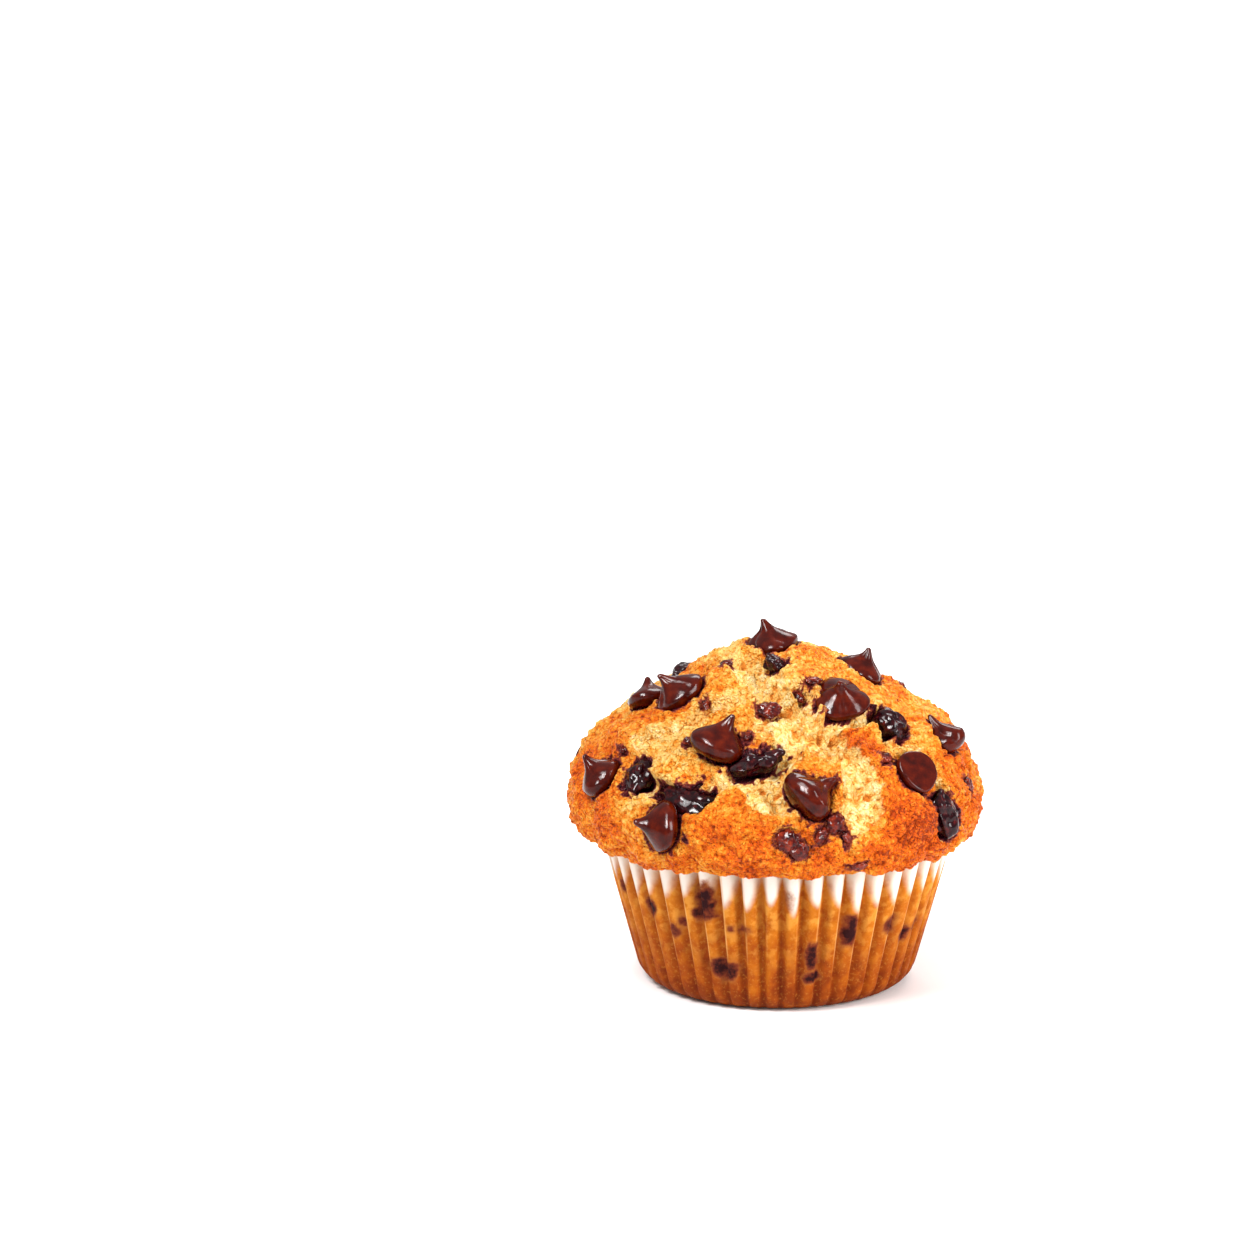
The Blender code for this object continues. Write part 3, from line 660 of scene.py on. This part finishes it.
def crumb_texture(point):
    """The open crumb: how far its clumps stand out, and how hollow it is between them."""
    clump, curd = lumps(point, CLUMP_PITCH, 7.0), lumps(point, CURD_PITCH, 5.0)
    pore = max(0.0, noise.noise(point / PORE_PITCH + Vector((9, 2, 4))) - PORE_START)
    height = CLUMP * clump + CURD * curd - PORE_DEPTH * pore
    height += CLUMP_SWELL * noise.noise(point / CLUMP_SWELL_PITCH + Vector((5, 5, 5)))
    return height, 0.40 - 0.26 * clump - 0.26 * curd + 3.0 * pore


def browning(point, apart, baked_seats):
    """How browned the crust is: more low down and on some plates, less at the peak and by a tear."""
    brown = BROWN + BROWN_LOW * (1 - float(smooth(point.z, 0.040, 0.064)))
    brown -= BROWN_PEAK * float(smooth(point.z, 0.064, 0.076))
    for pitch in BLOTCH_PITCHES:
        brown += BLOTCH * noise.noise(point / pitch)
    for seat, spread, amount in baked_seats:
        brown += amount * math.exp(-((point - seat).length / spread) ** 2)
    return brown - BROWN_TEAR * (1.0 - float(smooth(apart, 0.8, 1.6)))


def crust_fields(points):
    """Per point: the height of the baked top, how torn it is, how browned, and how hollow."""
    heights, torn, baked, cavities = (np.zeros(len(points)) for _ in range(4))
    baked_seats = [(crown_seat(az, polar)[0], spread, amount) for az, polar, spread, amount in BAKED]
    patches = [(crown_seat(az, polar)[0], spread) for az, polar, spread in TORN_PATCHES]
    for index, co in enumerate(points):
        point = Vector(co)
        apart = tear_reach(point)
        fray = apart + FRAY * noise.noise(point / FRAY_PITCH)
        fray += FINE_FRAY * noise.noise(point / FINE_FRAY_PITCH)
        for seat, spread in patches:
            fray -= 1.1 * math.exp(-((point - seat).length / spread) ** 2)
        open_crumb = 1.0 - float(smooth(fray, OPEN_WITHIN, WHOLE_BEYOND))
        skin, skin_hollow = skin_texture(point)
        crumb, crumb_hollow = crumb_texture(point)
        detail = skin * (1 - open_crumb) + crumb * open_crumb - OPEN_DROP * open_crumb
        detail += CRAG * lumps(point, CRAG_PITCH, 11.0) + HILL * lumps(point, HILL_PITCH, 2.0)
        detail += BORDER_CURL * math.exp(-(((fray - CURL_AT) / CURL_WIDTH) ** 2))
        # Where the lip leaves the case it lies snug against the paper.
        out_of_case = math.hypot(point.x, point.y) - ridge_radius(LIP_HEIGHT) - 0.0005
        free = 1.0 if point.z > CROWN_EQUATOR else float(smooth(out_of_case, 0.0, 0.0022))
        heights[index] = relief(point) + detail * free
        torn[index] = open_crumb
        baked[index] = browning(point, apart, baked_seats)
        cavities[index] = skin_hollow * (1 - open_crumb) + crumb_hollow * open_crumb
    return heights, torn, baked, cavities


crown, smooth_points, smooth_normals = crown_sheet()
crust_height, torn_field, baked_field, cavity_field = crust_fields(smooth_points)
top_points = smooth_points + smooth_normals * crust_height[:, None]


# ------------------------------------------------------------
# The chocolate chips: moulded dark chocolate drops with a flat foot, a round belly and a drawn
# out tip that curls over. They were pushed into the batter and softened as it baked, so their
# flanks have slumped into soft folds, and they shine.

Chip = namedtuple("Chip", "azimuth polar tip_azimuth tip_elevation radius height proud curl")
CHIPS = {
    "chip_top": Chip(145, 3, 180, 76, 0.006, 1.36, -0.0004, 0.16),
    "chip_top_right": Chip(-4, 33, -6, 62, 0.0053, 1.36, 0.0002, 0.2),
    "chip_pair_left": Chip(-176, 52, 110, 60, 0.0053, 1.3, -0.0006, 0.1),
    "chip_pair_right": Chip(-156, 44, 186, 52, 0.006, 1.4, 0.0006, 0.22),
    "chip_centre_left": Chip(-114, 60, 0, 68, 0.0062, 1.62, 0.0014, 0.12),
    "chip_upper_right": Chip(-56, 42, -84, 58, 0.0062, 1.16, 0.001, 0.22),
    "chip_left_edge": Chip(-155, 79, 176, 48, 0.0054, 1.6, 0.0, 0.12),
    "chip_lower_left": Chip(-125, 87, -165, 12, 0.0059, 1.48, 0.0004, 0.05),
    "chip_centre_low": Chip(-82, 76, 26, 34, 0.0063, 1.62, -0.0003, 0.14),
    "chip_right_flat": Chip(-46, 74, 128, -36, 0.005, 1.36, -0.0006, 0.0),
    "chip_right_edge": Chip(-17, 68, 172, 56, 0.005, 1.8, -0.0004, 0.14),
    "chip_back_shoulder": Chip(48, 70, 48, 20, 0.0058, 1.36, 0.0002, 0.12),
    "chip_back_high": Chip(76, 47, -104, -44, 0.0054, 1.4, -0.001, 0.0),
    "chip_back_middle": Chip(92, 75, 125, 26, 0.0061, 1.4, 0.0006, 0.12),
    "chip_back_left": Chip(118, 63, 100, 22, 0.0057, 1.36, -0.0004, 0.16),
    "chip_back_low_left": Chip(127, 82, 150, 12, 0.0056, 1.4, -0.0004, 0.08),
    "chip_back_side": Chip(152, 88, -28, -10, 0.0055, 1.36, -0.0002, 0.0),
    "chip_back_low": Chip(62, 89, 20, 14, 0.0057, 1.44, -0.0008, 0.1),
}
# How far each chip's flanks have folded, as folds round it and their depth; the rest are smooth.
FOLDS = {
    "chip_top": (4, 0.17), "chip_top_right": (4, 0.16), "chip_pair_left": (2, 0.12),
    "chip_pair_right": (4, 0.19), "chip_centre_left": (3, 0.08), "chip_upper_right": (3, 0.22),
    "chip_left_edge": (4, 0.17), "chip_right_edge": (5, 0.19), "chip_centre_low": (5, 0.17),
    "chip_lower_left": (2, 0.05), "chip_back_middle": (4, 0.16), "chip_back_left": (3, 0.14),
    "chip_back_shoulder": (3, 0.12),
}
FLAT_FOOTED = ("chip_right_flat", "chip_back_high", "chip_back_side")
# A drop's outline in shares of its radius, as curves from the foot to the tip. A softened drop
# has slumped round at the foot; one that lies on its side keeps its flat foot.
CHIP_BELLY = (Vector((1.0, 0.16)), Vector((1.03, 0.50)), Vector((0.64, 0.70)), Vector((0.37, 0.90)))
CHIP_NECK = (Vector((0.37, 0.90)), Vector((0.26, 1.0)), Vector((0.18, 1.14)), Vector((0.13, 1.26)))
CHIP_TIP = (Vector((0.13, 1.26)), Vector((0.11, 1.32)), Vector((0.07, 1.36)), Vector((0.0, 1.36)))
FLAT_FOOT = (Vector((0.86, 0.0)), Vector((0.95, 0.0)), Vector((1.0, 0.06)), Vector((1.0, 0.16)))
ROUND_FOOT = (Vector((0.0, -0.14)), Vector((0.60, -0.14)), Vector((1.0, -0.02)), Vector((1.0, 0.34)))
CHIP_TOP = 1.36
CHIP_MIDDLE = 0.33
CHIP_SIDES = 60
# How far a drop is from round, how its folds twist and wander, and how uneven it is.
CHIP_LOBES, FOLD_TWIST, FOLD_WANDER = 0.05, 0.9, 0.35
UNEVEN_FLANK, UNEVEN_HEIGHT = 0.035, 0.03


def direction(azimuth, elevation):
    """The unit vector that points this way, in degrees."""
    turn, rise = math.radians(azimuth), math.radians(elevation)
    return Vector((math.cos(rise) * math.cos(turn), math.cos(rise) * math.sin(turn), math.sin(rise)))


def frame_at(place, along, up):
    """A placing matrix from its origin and its X and Z axes."""
    across = up.cross(along)
    turn = Matrix((along, across, up)).transposed().to_4x4()
    return Matrix.Translation(place) @ turn


def chip_place(chip):
    """The chip's place: belly at its seat, +Z towards its tip, and the curl towards the dome's foot."""
    seat, normal = top_seat(chip.azimuth, chip.polar)
    tip = direction(chip.tip_azimuth, chip.tip_elevation)
    side = tip.cross(normal if abs(tip.dot(normal)) < 0.95 else Vector((0, 1, 0))).normalized()
    return frame_at(seat + normal * chip.proud, side, tip)


def chip_mesh(name, chip):
    """Spins the drop's outline, then slumps it: folds that grow towards the tip, and a curl."""
    if name in FLAT_FOOTED:
        foot = FLAT_FOOT
        outline = [Vector((0.0, 0.0))] + geometry.interpolate_bezier(*foot, 9)
    else:
        foot = ROUND_FOOT
        outline = geometry.interpolate_bezier(*foot, 12)
    outline += geometry.interpolate_bezier(foot[-1], *CHIP_BELLY[1:], 16)[1:]
    outline += geometry.interpolate_bezier(*CHIP_NECK, 8)[1:]
    outline += geometry.interpolate_bezier(*CHIP_TIP, 6)[1:]
    bm = bmesh.new()
    spin_round(bm, [bm.verts.new((point[0], 0.0, point[1])) for point in outline], CHIP_SIDES)
    count, depth = FOLDS.get(name, (3, 0.03))
    phase = math.radians(chip.azimuth * 3)
    own = Vector((chip.azimuth, chip.polar, 0.0))
    for vert in bm.verts:
        round_axis = math.atan2(vert.co.y, vert.co.x)
        share = vert.co.z / CHIP_TOP
        lean = round_axis + FOLD_TWIST * share
        lean += FOLD_WANDER * noise.noise(Vector((share * 3.0, 0, 0)) + own)
        crease = (1.0 - abs(math.sin(0.5 * count * lean + phase))) ** 1.6
        folded = float(smooth(share, 0.06, 0.48)) * (1.0 - float(smooth(share, 0.86, 1.0)))
        spread = 1.0 + CHIP_LOBES * math.cos(3 * round_axis + phase) - depth * folded * crease
        spread += UNEVEN_FLANK * noise.noise(vert.co * 1.3 + own)
        vert.co.x *= spread
        vert.co.y *= spread
        vert.co.z = (share - CHIP_MIDDLE) * chip.height
        vert.co.x += chip.curl * max(vert.co.z, 0.0) ** 2
        uneven = noise.noise(vert.co * 1.1 + own + Vector((3, 3, 3)))
        vert.co.z += UNEVEN_HEIGHT * uneven * min(share * 3, 1.0)
        vert.co *= chip.radius
    bmesh.ops.transform(bm, matrix=chip_place(chip), verts=bm.verts)
    bmesh.ops.recalc_face_normals(bm, faces=bm.faces)
    return bm


def chocolate_paint(name, roughness, specular, marbling, browns, skin):
    """Chocolate: marbled browns under a shine, and a skin as (scale, detail, strength, depth)."""
    made, tree, shader = new_material(name, Roughness=roughness, IOR=1.45, Specular_IOR_Level=specular)
    place = object_place(tree)
    tree.links.new(ramp(tree, grain(tree, place, marbling), *browns), shader.inputs["Base Color"])
    scale, detail, strength, depth = skin
    add_bump(tree, shader, grain(tree, place, scale, detail, 0.5), strength, depth)
    return made, tree, shader, place


chip_paint, tree, shader, place = chocolate_paint(
    "dark_chocolate", 0.20, 0.20, 420.0,
    ((0.30, (0.026, 0.0010, 0.0002)), (0.50, (0.054, 0.0026, 0.0002)), (0.72, (0.096, 0.0072, 0.0006))),
    (650.0, 2.0, 0.16, 0.0004),
)
dulled = {"Value": grain(tree, place, 900.0), "To Min": 0.08, "To Max": 0.24}
tree.links.new(add_node(tree, "MapRange", dulled).outputs["Result"], shader.inputs["Roughness"])

chocolate_trees = {}
for name, chip in CHIPS.items():
    bm = chip_mesh(name, chip)
    chocolate_trees[name] = BVHTree.FromBMesh(bm)
    piece = object_from("drop" + name[4:], bm, chip_paint)
    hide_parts(name)
    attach(piece, "root")


# ------------------------------------------------------------
# Pockets of melted chocolate: chips that burst and ran into the cracks. They set as wet, nearly
# black, lumpy pools with a purple cast and sharp small highlights.

POOL_BULGE = 0.22
BEAD, BEAD_PITCH = 0.00036, 0.0026
POOL_SWELL, POOL_SWELL_PITCH = 0.00080, 0.0030


def pocket_place(pocket):
    """The pocket's place: its middle at its seat, +Z out of the crust, and its length turned."""
    seat, normal = top_seat(pocket.azimuth, pocket.polar)
    level = Vector((0, 0, 1)).cross(normal).normalized()
    level.rotate(Matrix.Rotation(math.radians(pocket.turn), 3, normal))
    return frame_at(seat + normal * pocket.proud, level, normal)


def pocket_mesh(pocket, subdivisions=5, ragged=0.0, beading=1.0):
    """A ball, swollen unevenly and drawn out to the pool's size, then beaded like cooled syrup."""
    bm = bmesh.new()
    bmesh.ops.create_icosphere(bm, subdivisions=subdivisions, radius=0.5)
    own = Vector((pocket.azimuth, pocket.polar, 0.0))
    for vert in bm.verts:
        bulge = (POOL_BULGE + 0.4 * ragged) * noise.noise(vert.co * 4.0 + own)
        vert.co *= 1.0 + bulge + ragged * noise.noise(vert.co * 9.0 + own)
    bmesh.ops.scale(bm, vec=(pocket.length, pocket.width, pocket.thickness), verts=bm.verts)
    bmesh.ops.transform(bm, matrix=pocket_place(pocket), verts=bm.verts)
    bm.normal_update()
    for vert in bm.verts:
        bead = BEAD * lumps(vert.co, BEAD_PITCH) + POOL_SWELL * noise.noise(vert.co / POOL_SWELL_PITCH)
        vert.co += vert.normal * bead * beading
    bmesh.ops.smooth_vert(
        bm, verts=bm.verts, factor=0.5, use_axis_x=True, use_axis_y=True, use_axis_z=True
    )
    return bm


melt_paint = chocolate_paint(
    "melted_chocolate", 0.10, 0.22, 800.0,
    ((0.32, (0.005, 0.0005, 0.0012)), (0.54, (0.020, 0.0016, 0.0030)), (0.76, (0.090, 0.0080, 0.0070))),
    (1500.0, 3.0, 0.05, 0.0005),
)[0]

for name, pocket in POCKETS.items():
    bm = pocket_mesh(pocket)
    chocolate_trees[name] = BVHTree.FromBMesh(bm)
    piece = object_from("pool" + name[4:], bm, melt_paint)
    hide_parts(name)
    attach(piece, "root")


# ------------------------------------------------------------
# The morsels: broken bits of chocolate, half sunk in the crumb, that melted to ragged wet blobs of
# reddish brown. In the solid they are fused to the crumb.

# Each morsel, with the pockets' measures.
MORSELS = [Pocket(*row) for row in (
    (-146, 24, 0.0036, 0.0024, 0.0016, 0, 0.0), (-97, 43, 0.0052, 0.0046, 0.0022, -20, 0.0),
    (-77, 34, 0.0018, 0.0034, 0.0014, 12, 0.0), (-89, 88, 0.0048, 0.0044, 0.0024, -8, 0.0),
    (-86, 91, 0.0042, 0.0046, 0.002, 20, -0.0002), (-76, 84, 0.0042, 0.0044, 0.0022, 24, 0.0),
    (-80, 87, 0.0022, 0.0036, 0.0014, -30, 0.0), (-73, 88, 0.002, 0.003, 0.0012, 30, 0.0),
    (-69, 96, 0.0034, 0.0018, 0.0012, 10, 0.0), (-134, 44, 0.0034, 0.0018, 0.0014, -40, 0.0),
    (-66, 31, 0.004, 0.0016, 0.0012, -10, 0.0), (-104, 56, 0.0018, 0.0024, 0.0012, 0, -0.0001),
    (-126, 62, 0.0022, 0.0018, 0.0012, 30, -0.0001), (-20, 82, 0.0036, 0.0028, 0.0016, 10, -0.0001),
    (-54, 68, 0.0026, 0.0024, 0.0014, 40, -0.0002), (-152, 70, 0.002, 0.0016, 0.001, 10, -0.0001),
    (82, 52, 0.005, 0.004, 0.0022, 20, 0.0), (108, 88, 0.0056, 0.0046, 0.0024, -15, 0.0),
    (138, 95, 0.004, 0.003, 0.0016, 0, 0.0), (84, 88, 0.0044, 0.004, 0.002, 35, 0.0),
    (16, 52, 0.0036, 0.0028, 0.0018, -30, 0.0), (172, 76, 0.0038, 0.003, 0.0018, 15, 0.0),
    (60, 24, 0.0036, 0.0024, 0.0014, 40, 0.0), (140, 58, 0.003, 0.0026, 0.0014, -20, 0.0),
)]

morsel_paint = chocolate_paint(
    "wet_chocolate_bit", 0.12, 0.26, 620.0,
    ((0.34, (0.020, 0.0012, 0.0020)), (0.50, (0.085, 0.0050, 0.0026)), (0.66, (0.210, 0.0190, 0.0044))),
    (1300.0, 3.0, 0.10, 0.0005),
)[0]

for number, morsel in enumerate(MORSELS, 1):
    bm = pocket_mesh(morsel, subdivisions=4, ragged=0.42, beading=0.12)
    chocolate_trees[number] = BVHTree.FromBMesh(bm)
    piece = object_from(f"morsel_{number}", bm, morsel_paint)
    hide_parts("crumb")
    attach(piece, "root")


# ------------------------------------------------------------
# The sockets. The cake rose round each piece of chocolate, so the crumb is pressed in under it,
# sinks a little at its edge, and is stained reddish brown there, nearly black beside the pools.
# Round each chip the dark ring is partly that stain and partly a painted contact shadow.

# How deep the crumb sinks beside each kind of piece, how dark its stain is, and where the stain
# starts and ends; a small pool stains less far.
Socket = namedtuple("Socket", "sink darkness start reach")
# A chip's dark ring is partly chocolate stain and partly painted contact shadow.
CHIP_SOCKET_AND_SHADOW = Socket(0.0006, 0.86, 0.0, 0.0013)
POOL_SOCKET = Socket(0.0008, 1.00, 0.0001, 0.0023)
MORSEL_SOCKET = Socket(0.0006, 0.62, 0.0, 0.0018)
BROAD_POOL = 0.0080
SINK_WIDTH = 0.0007
UNDER_PIECE = 0.00015
STAIN_REACH = 0.0026
# How ragged the borders of the stains and smears are.
STAIN_FRAY, STAIN_FRAY_PITCH = 0.9, 0.0016
STAIN_SPECK, STAIN_SPECK_PITCH = 0.0003, 0.0007
SMEAR_FRAY, SMEAR_FRAY_PITCH = 0.8, 0.0013
SMEAR_DARKNESS = 0.85
# Chocolate smeared on the crumb between the pieces: azimuth, polar, spread.
SMEARS = (
    (-89, 73, 0.0015), (-88, 79, 0.0013), (-92, 70, 0.001), (-73, 44, 0.0013), (-66, 49, 0.0014),
    (-41, 48, 0.0013), (-54, 67, 0.0012), (-47, 80, 0.0013), (-117, 89, 0.0014), (-93, 77, 0.0008),
    (-134, 47, 0.001), (-157, 76, 0.0012), (-68, 30, 0.0008), (-61, 32, 0.0007), (-104, 59, 0.0009),
    (-84, 84, 0.0009), (-74, 90, 0.0008), (-39, 92, 0.0008), (74, 60, 0.0012), (112, 70, 0.0012),
    (58, 80, 0.0012), (128, 88, 0.001), (96, 84, 0.0009), (40, 76, 0.001),
)


def pressed_pieces():
    """Every piece of chocolate, as its search tree, middle, size and socket."""
    found = []
    for name, chip in CHIPS.items():
        middle = chip_place(chip).translation
        found.append((chocolate_trees[name], middle, 1.5 * chip.radius, CHIP_SOCKET_AND_SHADOW))
    for name, pocket in POCKETS.items():
        middle = pocket_place(pocket).translation
        socket = POOL_SOCKET._replace(reach=POOL_SOCKET.reach * min(1.0, pocket.length / BROAD_POOL))
        found.append((chocolate_trees[name], middle, pocket.length, socket))
    for number, morsel in enumerate(MORSELS, 1):
        middle = pocket_place(morsel).translation
        found.append((chocolate_trees[number], middle, morsel.length, MORSEL_SOCKET))
    return found


def press_stain_and_shade(points, normals):
    """Moves crumb inside the chocolate down under it, and says how stained the rest is, painted chip
    shadow included.
    """
    stain = np.zeros(len(points))
    for search, middle, size, socket in pressed_pieces():
        near = np.nonzero(np.linalg.norm(points - np.array(middle), axis=1) < size + STAIN_REACH)[0]
        for index in near:
            point, normal = Vector(points[index]), Vector(normals[index])
            distance = search.find_nearest(point)[3]
            above, above_facing = search.ray_cast(point, normal)[:2]
            below, below_facing = search.ray_cast(point, -normal)[:2]
            covered = above is not None and above_facing.dot(normal) > 0
            if covered and below is not None and below_facing.dot(normal) < 0:
                points[index] = below - normal * UNDER_PIECE
                distance = 0.0
            else:
                points[index] -= np.array(normal) * socket.sink * math.exp(-(distance / SINK_WIDTH) ** 2)
            ragged = distance * (1.0 + STAIN_FRAY * noise.noise(point / STAIN_FRAY_PITCH))
            ragged += STAIN_SPECK * noise.noise(point / STAIN_SPECK_PITCH)
            amount = socket.darkness * (1.0 - float(smooth(ragged, socket.start, socket.reach)))
            stain[index] = max(stain[index], amount)
    for azimuth, polar, spread in SMEARS:
        seat = np.array(top_seat(azimuth, polar)[0])
        for index in np.nonzero(np.linalg.norm(points - seat, axis=1) < 2.5 * spread)[0]:
            point = Vector(points[index])
            ragged = float(np.linalg.norm(points[index] - seat)) / spread
            ragged += SMEAR_FRAY * noise.noise(point / SMEAR_FRAY_PITCH)
            stain[index] = max(stain[index], SMEAR_DARKNESS * (1.0 - float(smooth(ragged, 0.3, 1.3))))
    return stain


stain_and_shade_field = press_stain_and_shade(top_points, smooth_normals)

fields = {"torn": torn_field, "baked": baked_field, "stain": stain_and_shade_field, "cavity": cavity_field}
for name in fields:
    crown.verts.layers.float.new(name)
layers = [(crown.verts.layers.float[name], field) for name, field in fields.items()]
for index, vert in enumerate(crown.verts):
    vert.co = top_points[index]
    for layer, field in layers:
        vert[layer] = field[index]

# The cake goes on inside the case: up the groove the paper rim stands in, then down to its foot.
groove_top = RIM_HEIGHT + GAP
spare = 0.00035 + GAP
wall_top = ridge_radius(groove_top) - spare / math.cos(WALL_LEAN) - PLEAT_DEPTH
foot_radius = case_outline()[0][0] - 0.0005
inside = (
    (RIM_RADIUS + 0.0006, groove_top), (wall_top, groove_top),
    (wall_top - 0.0080, 0.0080), (foot_radius, spare),
)
for radius, height in inside:
    border = [edge for edge in crown.edges if edge.is_boundary]
    grown = bmesh.ops.extrude_edge_only(crown, edges=border)
    for vert in [part for part in grown["geom"] if isinstance(part, bmesh.types.BMVert)]:
        turn = math.atan2(vert.co.y, vert.co.x)
        vert.co = (radius * math.cos(turn), radius * math.sin(turn), height)
border = [edge for edge in crown.edges if edge.is_boundary]
bmesh.ops.contextual_create(crown, geom=border)
bmesh.ops.triangulate(crown, faces=[face for face in crown.faces if len(face.verts) > 4])
bmesh.ops.recalc_face_normals(crown, faces=crown.faces)


def pebbles_at(tree, place, scale):
    """0 on the top of the nearest rounded pebble, rising to about 0.7 in the creases between."""
    away = add_node(tree, "TexVoronoi", {"Vector": place, "Scale": scale}).outputs["Distance"]
    return times(tree, away, away)


crumb_paint, tree, shader = new_material("baked_crumb", Specular_IOR_Level=0.07)
place = object_place(tree)
swirl = add_node(tree, "TexNoise", {"Vector": place, "Scale": 800.0, "Detail": 2.0}).outputs["Color"]
swirled = {0: swirl, 1: (0.0012, 0.0012, 0.0012), 2: place}
place_warped = add_node(tree, "VectorMath", swirled, operation="MULTIPLY_ADD").outputs["Vector"]
torn = attribute(tree, "torn")
cavity = attribute(tree, "cavity")
coarse = grain(tree, place, 240.0)
middle = grain(tree, place, 700.0)
fine = grain(tree, place, 2300.0, 2.0)
beads = times(tree, pebbles_at(tree, place_warped, 1050.0), 0.62)
dust = times(tree, pebbles_at(tree, place_warped, 2200.0), 0.38)
crease = plus(tree, beads, dust)

# Baked crust: from cream through gold to brown, dark in pits, with painted shade that browns its creases
# and hollows and a painted highlight on its pebbles' tips.
baked = plus(tree, attribute(tree, "baked"), centred(tree, coarse, 0.5))
# Painted shade: the crust browns further in the creases between its pebbles and in its hollows.
for value, strength, level in ((middle, 0.5, 0.5), (crease, 0.80, 0.28), (cavity, 0.36, 0.42)):
    baked = plus(tree, baked, centred(tree, value, strength, level))
crust = ramp(
    tree, baked,
    (0.00, (0.90, 0.560, 0.170)), (0.22, (0.86, 0.380, 0.058)), (0.45, (0.80, 0.220, 0.012)),
    (0.68, (0.74, 0.125, 0.005)), (0.90, (0.60, 0.080, 0.004)), (1.0, (0.40, 0.046, 0.004)),
)
# Painted highlight: the pebbles' tips are lightened towards a pale gold.
tips = plus(tree, crease, centred(tree, cavity, 0.30, 0.42))
tips = minus(tree, 1.0, soft_step(tree, tips, -0.06, 0.16))
crust = mix(tree, times(tree, tips, 0.42), crust, (0.94, 0.440, 0.070))
pits = soft_step(tree, plus(tree, fine, times(tree, baked, 0.14)), 0.69, 0.78)
crust = mix(tree, times(tree, pits, 0.70), crust, (0.22, 0.034, 0.008))

# Open crumb: pale cream, with painted light on its clumps' tops and painted shade, darker and more
# orange, in its creases and hollows.
open_tone = plus(tree, centred(tree, crease, -0.9, 0.28), middle)
open_tone = plus(tree, open_tone, centred(tree, cavity, -0.55, 0.42))
inner = ramp(
    tree, open_tone, (0.05, (0.78, 0.250, 0.030)), (0.28, (0.92, 0.460, 0.095)),
    (0.52, (0.95, 0.620, 0.200)), (0.82, (0.97, 0.760, 0.400)),
)
torn_edge = soft_step(tree, plus(tree, torn, centred(tree, middle, 0.9)), 0.20, 0.80)
top = mix(tree, torn_edge, crust, inner)

# Chocolate stains: reddish where thin, nearly black and wet beside the pools.
# Round each chip this dark ring is partly a painted contact shadow.
stain = plus(tree, attribute(tree, "stain"), centred(tree, middle, 0.7))
stain = plus(tree, stain, centred(tree, crease, 0.5, 0.40))
stain_and_shade_colour = ramp(
    tree, stain, (0.18, (0.56, 0.170, 0.050)), (0.38, (0.30, 0.050, 0.026)),
    (0.60, (0.100, 0.012, 0.014)), (0.88, (0.026, 0.003, 0.007)),
)
top = mix(tree, soft_step(tree, stain, 0.14, 0.42), top, stain_and_shade_colour)
tree.links.new(top, shader.inputs["Base Color"])
wet = soft_step(tree, stain, 0.40, 0.75)
dry = add_node(tree, "MapRange", {"Value": torn_edge, "To Min": 0.42, "To Max": 0.80}).outputs["Result"]
rough = add_node(tree, "Mix", {0: wet, 2: dry, 3: 0.16}, data_type="FLOAT").outputs[0]
tree.links.new(rough, shader.inputs["Roughness"])
height_fine = minus(tree, times(tree, middle, 0.8), crease)
height_fine = minus(tree, height_fine, times(tree, pits, 0.25))
add_bump(tree, shader, height_fine, 1.0, 0.0012)

cake = object_from("baked_cake", crown, crumb_paint)
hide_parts("crumb")
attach(cake, "root")
